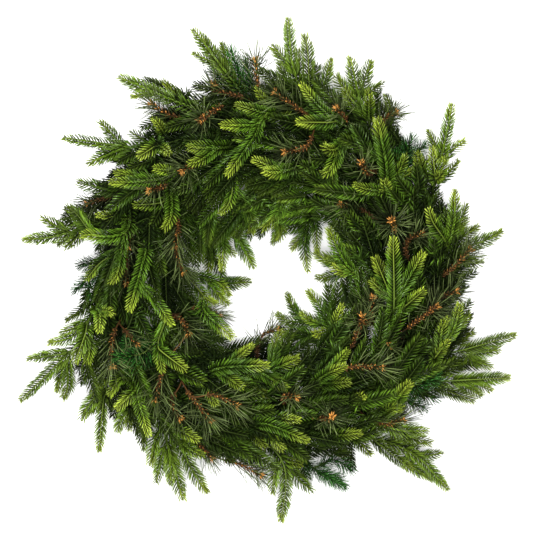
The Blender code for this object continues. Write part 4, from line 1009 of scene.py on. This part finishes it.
def build_bunch(bunch, lines, inner, twigs, finishes, shift, number):
    """One finer bunch over its node: each middle line gets its stem and what grows on it."""
    heap = Heap()
    draw = np.random.default_rng(FIRST_SEED + number)
    for index, (line, shoot) in enumerate(zip(lines, bunch.shoots)):
        is_lead = index == 0
        line = line + shift
        young = MAKERS[bunch.foliage](Sprig(heap, line, distances(line)[-1], is_lead, shoot[-1], draw))
        grow_stem(heap, hooked(bunch, line, shift) if is_lead else line, is_lead, STEM, young, 1.0)
    for line, level in inner:
        line = line + shift
        inner_shoot(Sprig(heap, line, distances(line)[-1], False, level, draw))
        grow_stem(heap, line, False, INNER_STEM, 0.0, INNER_STEM_LIGHT, INNER_STEM_SIDES)
    for line in twigs:
        line = line + shift
        bare_twig(Sprig(heap, line, distances(line)[-1], False, 1.0, draw))
        grow_stem(heap, line, False, TWIG_STEM, 0.0, TWIG_STEM_LIGHT)
    piece = heap.piece(bunch.name + "_fine", finishes)
    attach(piece, "root")
    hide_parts(bunch.name)
    return piece


def build_ring(finish, shift):
    """The finer ring over its node: two round rails and the ties between them.

    Corner k of a rail's ring i lies at (radius + r*cos(a_k))*way_i, raised by r*sin(a_k), with r the
    rail's own radius, a the corner's angle and way the direction from the middle.
    """
    heap = Heap()
    lift = np.array((0.0, 0.0, RAIL_RADIUS)) + shift
    turn = np.linspace(0, 2 * np.pi, RAIL_STEPS + 1)[:-1]
    way = np.stack((np.cos(turn), np.sin(turn), 0 * turn), axis=1)
    angle = 2 * np.pi * np.arange(RAIL_SIDES) / RAIL_SIDES
    rings = np.arange(RAIL_STEPS * RAIL_SIDES).reshape(RAIL_STEPS, RAIL_SIDES)
    low, low_next, high, high_next = (np.roll(rings, move, axis=(0, 1)).ravel()
                                      for move in ((0, 0), (0, -1), (-1, 0), (-1, -1)))
    triangles = np.concatenate((np.stack((low, high_next, low_next), 1),
                                np.stack((low, high, high_next), 1)))
    for radius in (INNER_RAIL, OUTER_RAIL):
        out = (radius + RAIL_RADIUS * np.cos(angle))[None, :, None] * way[:, None]
        up = np.array((0.0, 0.0, RAIL_RADIUS)) * np.sin(angle)[None, :, None]
        heap.add((out + up).reshape(-1, 3) + lift, triangles, 0, young=0.0, tone=0.5, light=1.0)
    for clock in np.radians(TIE_FIRST_CLOCK + 360 * np.arange(TIE_COUNT) / TIE_COUNT):
        way = np.array((math.cos(clock), math.sin(clock), 0.0))
        line = np.linspace(INNER_RAIL, OUTER_RAIL, TIE_POINTS)[:, None] * way + lift
        corners, triangles = tube(line, np.full(TIE_POINTS, TIE_RADIUS))
        heap.add(corners, triangles, 0, young=0.0, tone=0.5, light=1.0)
    piece = heap.piece("ring_fine", [finish])
    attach(piece, "root")
    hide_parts("ring_frame")


class Number:
    """A number in a material: arithmetic on it adds the Math nodes that work it out."""

    def __init__(self, paint, socket):
        self.paint, self.socket = paint, socket

    def __add__(self, other):
        return self.paint.maths("ADD", self, other)

    def __sub__(self, other):
        return self.paint.maths("SUBTRACT", self, other)

    def __mul__(self, other):
        return self.paint.maths("MULTIPLY", self, other)

    def __rsub__(self, other):
        return self.paint.maths("SUBTRACT", other, self)

    __radd__ = __add__
    __rmul__ = __mul__

    def clamped(self):
        return self.paint.maths("ADD", self, 0.0, use_clamp=True)


class Paint:
    """A Principled material and the ways to add nodes to it."""

    def __init__(self, name):
        self.material = bpy.data.materials.new(name)
        self.material.use_nodes = True
        self.tree = self.material.node_tree
        self.shader = self.tree.nodes["Principled BSDF"]
        self.places = self.node("ShaderNodeTexCoord").outputs["Object"]

    def node(self, kind, settings=None, **values):
        """Any node: its settings first, then values or links for its sockets, by name or place."""
        made = self.tree.nodes.new(kind)
        for name, value in (settings or {}).items():
            setattr(made, name, value)
        for name, value in values.items():
            key = int(name[1:]) if name[0] == "s" and name[1:].isdigit() else name.replace("_", " ")
            self.feed(made.inputs[key], value)
        return made

    def feed(self, socket, value):
        """Link or set one socket."""
        if isinstance(value, Number):
            value = value.socket
        if isinstance(value, bpy.types.NodeSocket):
            self.tree.links.new(value, socket)
        else:
            socket.default_value = value

    def maths(self, operation, one, two, use_clamp=False):
        made = self.node("ShaderNodeMath", {"operation": operation, "use_clamp": use_clamp}, s0=one, s1=two)
        return Number(self, made.outputs[0])

    def attribute(self, name):
        return Number(self, self.node("ShaderNodeAttribute", {"attribute_name": name}).outputs["Fac"])

    def noise(self, scale, detail=2.0):
        made = self.node("ShaderNodeTexNoise", Vector=self.places, Scale=scale, Detail=detail)
        return Number(self, made.outputs[0])

    def mix(self, share, one, two):
        """A colour between two, by a share from 0 to 1."""
        made = self.node("ShaderNodeMix", {"data_type": "RGBA"})
        self.feed(made.inputs["Factor"], share)
        for key, value in (("A", one), ("B", two)):
            sockets = [socket for socket in made.inputs if socket.name == key and socket.type == "RGBA"]
            self.feed(sockets[0], value)
        return [socket for socket in made.outputs if socket.type == "RGBA"][0]

    def set(self, **values):
        for name, value in values.items():
            self.feed(self.shader.inputs[name.replace("_", " ")], value)
        return self.material


def darker(colour, share):
    """A colour at a share of its brightness."""
    return tuple(channel * share for channel in colour[:3]) + (1.0,)


def needle_finish(name, old, new, youngest, coat=1.0):
    """Needles: old green in the painted shade, newer green above, the youngest at the points, painted pale
    glints in patches where lit, and glossy where lit.
    """
    paint = Paint(name)
    light = paint.attribute("light")
    young = paint.attribute("young")
    patches = paint.noise(PATCH_SCALE)
    green = paint.mix((paint.attribute("tone") * 0.75 + patches * 0.5 - 0.12).clamped(), old, new)
    green = paint.mix((young * (0.65 + 0.5 * patches)).clamped(), green, youngest)
    # Painted highlight: pale glints in noise patches, only on lit needles that are not young
    glint = ((paint.noise(GLINT_SCALE, GLINT_DETAIL) - GLINT_START) * GLINT_STEEPNESS).clamped()
    glint = glint * GLINT_MOST * light.clamped() * (1 - young * 3).clamped()
    green = paint.mix(glint, green, PAINTED_GLINT)
    green = paint.mix(light.clamped(), darker(old, NEEDLE_SHADOW), green)
    roughness = 0.5 + 0.15 * patches
    gloss = (patches * GLOSS_STEEPNESS - GLOSS_LESS).clamped()
    return paint.set(Base_Color=green, Roughness=roughness, Specular_IOR_Level=SHEEN,
                     Coat_Weight=(light * gloss * coat).clamped(), Coat_Roughness=COAT_ROUGHNESS,
                     Coat_IOR=COAT_IOR)


def stem_finish(name, low, high, youngest):
    """Stem covering, paler in patches and near a young point, and darkened as painted shade where it takes
    up little light.
    """
    paint = Paint(name)
    colour = paint.mix(paint.noise(STEM_SCALE), low, high)
    colour = paint.mix((paint.attribute("young") * 0.7).clamped(), colour, youngest)
    colour = paint.mix(paint.attribute("light").clamped(), darker(low, STEM_SHADOW), colour)
    return paint.set(Base_Color=colour, Roughness=0.7, Specular_IOR_Level=SHEEN)


def scale_finish(name, brown, orange, bright):
    """Bud scales: dark brown at their roots, orange at their ends, paler on the newest, and browner in
    painted shade.
    """
    paint = Paint(name)
    tone = paint.attribute("tone")
    # The orange share follows the light attribute: the scales' own brown-to-orange colouring together with
    # painted shade, which keeps scales brown deep in the wreath and under the stem
    colour = paint.mix((paint.attribute("light") * 1.2 - 0.35).clamped(), brown, orange)
    colour = paint.mix((paint.attribute("young") * tone).clamped(), colour, bright)
    return paint.set(Base_Color=colour, Roughness=0.6, Specular_IOR_Level=0.2)


def wire_finish():
    """Dark green paint on the ring's wire, a little worn in patches."""
    paint = Paint("ring_green_wire")
    wear = paint.noise(WIRE_SCALE, WIRE_DETAIL)
    return paint.set(Base_Color=paint.mix(wear, *WIRE_GREENS), Roughness=0.35 + 0.25 * wear)


def floor_finish():
    """Plain matt white."""
    paint = Paint("floor_white")
    return paint.set(Base_Color=paint.mix(paint.noise(FLOOR_SCALE) * 0.3, *FLOOR_WHITES), Roughness=0.8)


def make_floor():
    """A level sheet under the ring: corners at (+-half, +-half, 0)."""
    half = FLOOR_HALF
    mesh = bpy.data.meshes.new("floor")
    corners = [(-half, -half, 0), (half, -half, 0), (half, half, 0), (-half, half, 0)]
    mesh.from_pydata(corners, [], [(0, 1, 2, 3)])
    mesh.materials.append(floor_finish())
    floor = bpy.data.objects.new("floor", mesh)
    bpy.context.scene.collection.objects.link(floor)


def area_light(name, place, size, power):
    """A square soft light that faces the wreath."""
    data = bpy.data.lights.new(name, "AREA")
    data.size = size
    data.energy = power
    lamp = bpy.data.objects.new(name, data)
    lamp.location = place
    way = np.array(LAMP_TARGET) - np.array(place)
    lamp.rotation_euler = (math.atan2(math.hypot(way[0], way[1]), -way[2]), 0,
                           math.atan2(way[1], way[0]) - math.pi / 2)
    bpy.context.scene.collection.objects.link(lamp)


def make_lights():
    """A wide soft light overhead, a smaller one from the upper left, and pale surroundings."""
    for lamp in LAMPS:
        area_light(*lamp)
    world = bpy.data.worlds.new("studio")
    world.use_nodes = True
    background = world.node_tree.nodes["Background"]
    background.inputs["Color"].default_value = WORLD_COLOUR
    background.inputs["Strength"].default_value = WORLD_STRENGTH
    bpy.context.scene.world = world
    bpy.context.scene.view_settings.view_transform = "Standard"


def make_camera(shift):
    """Straight above the photograph's middle, at the height that the layout was read from."""
    middle = FRAME_PIXELS / 2
    data = bpy.data.cameras.new("camera")
    data.sensor_width = SENSOR_WIDTH
    data.lens = data.sensor_width * (EYE_HEIGHT - SCALE_HEIGHT) / (FRAME_PIXELS * PIXEL)
    data.clip_start, data.clip_end = 0.1, 20.0
    camera = bpy.data.objects.new("camera", data)
    camera.location = ((middle - CENTRE_PIXEL[0]) * PIXEL + shift[0],
                       (CENTRE_PIXEL[1] - middle) * PIXEL + shift[1], EYE_HEIGHT)
    bpy.context.scene.collection.objects.link(camera)
    bpy.context.scene.camera = camera


def ring_shift():
    """How far the ring's middle stands from the origin, level with the floor."""
    low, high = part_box("ring_frame")
    return np.array(((low[0] + high[0]) / 2, (low[1] + high[1]) / 2, 0.0))


def make_finishes():
    """The finishes of each foliage, in the order of their places in a bunch's list."""
    green_stem = stem_finish("stem_green", *STEM_GREENS)
    brown_stem = stem_finish("stem_brown", *STEM_BROWNS)
    scales = scale_finish("bud_scales", *SCALE_BROWNS)
    spruce = needle_finish("spruce_needles", *SPRUCE_GREENS)
    fir = needle_finish("fir_needles", *FIR_GREENS)
    pine = needle_finish("pine_needles", *PINE_GREENS, PINE_COAT)
    shared = (spruce, green_stem, scales, brown_stem, pine)
    return {"spruce": (spruce, green_stem) + shared, "fir": (fir, green_stem) + shared,
            "pine": (pine, brown_stem) + shared}


def build():
    """The stage, the ring, and every bunch with its own inner shoots and bare twigs."""
    shift = ring_shift()
    make_camera(shift)
    make_floor()
    make_lights()
    finishes = make_finishes()
    rows = bunches()
    grown = [grow(bunch) for bunch in rows]
    all_lines = settle([lines for lines, _ in grown], [joints for _, joints in grown])
    fork = Fork(all_lines)
    twigs = [fork.shoot(reading, TWIG_RISE) for reading in BARE_TWIGS]
    inner = under_shoots(rows, all_lines, fork, [line for _, line in twigs])
    build_ring(wire_finish(), shift)
    for number, (bunch, lines) in enumerate(zip(rows, all_lines)):
        own = [(line, level) for owner, line, level in inner if owner == number]
        own_twigs = [line for owner, line in twigs if owner == number]
        piece = build_bunch(bunch, lines, own, own_twigs, finishes[bunch.foliage], shift, number)


build()
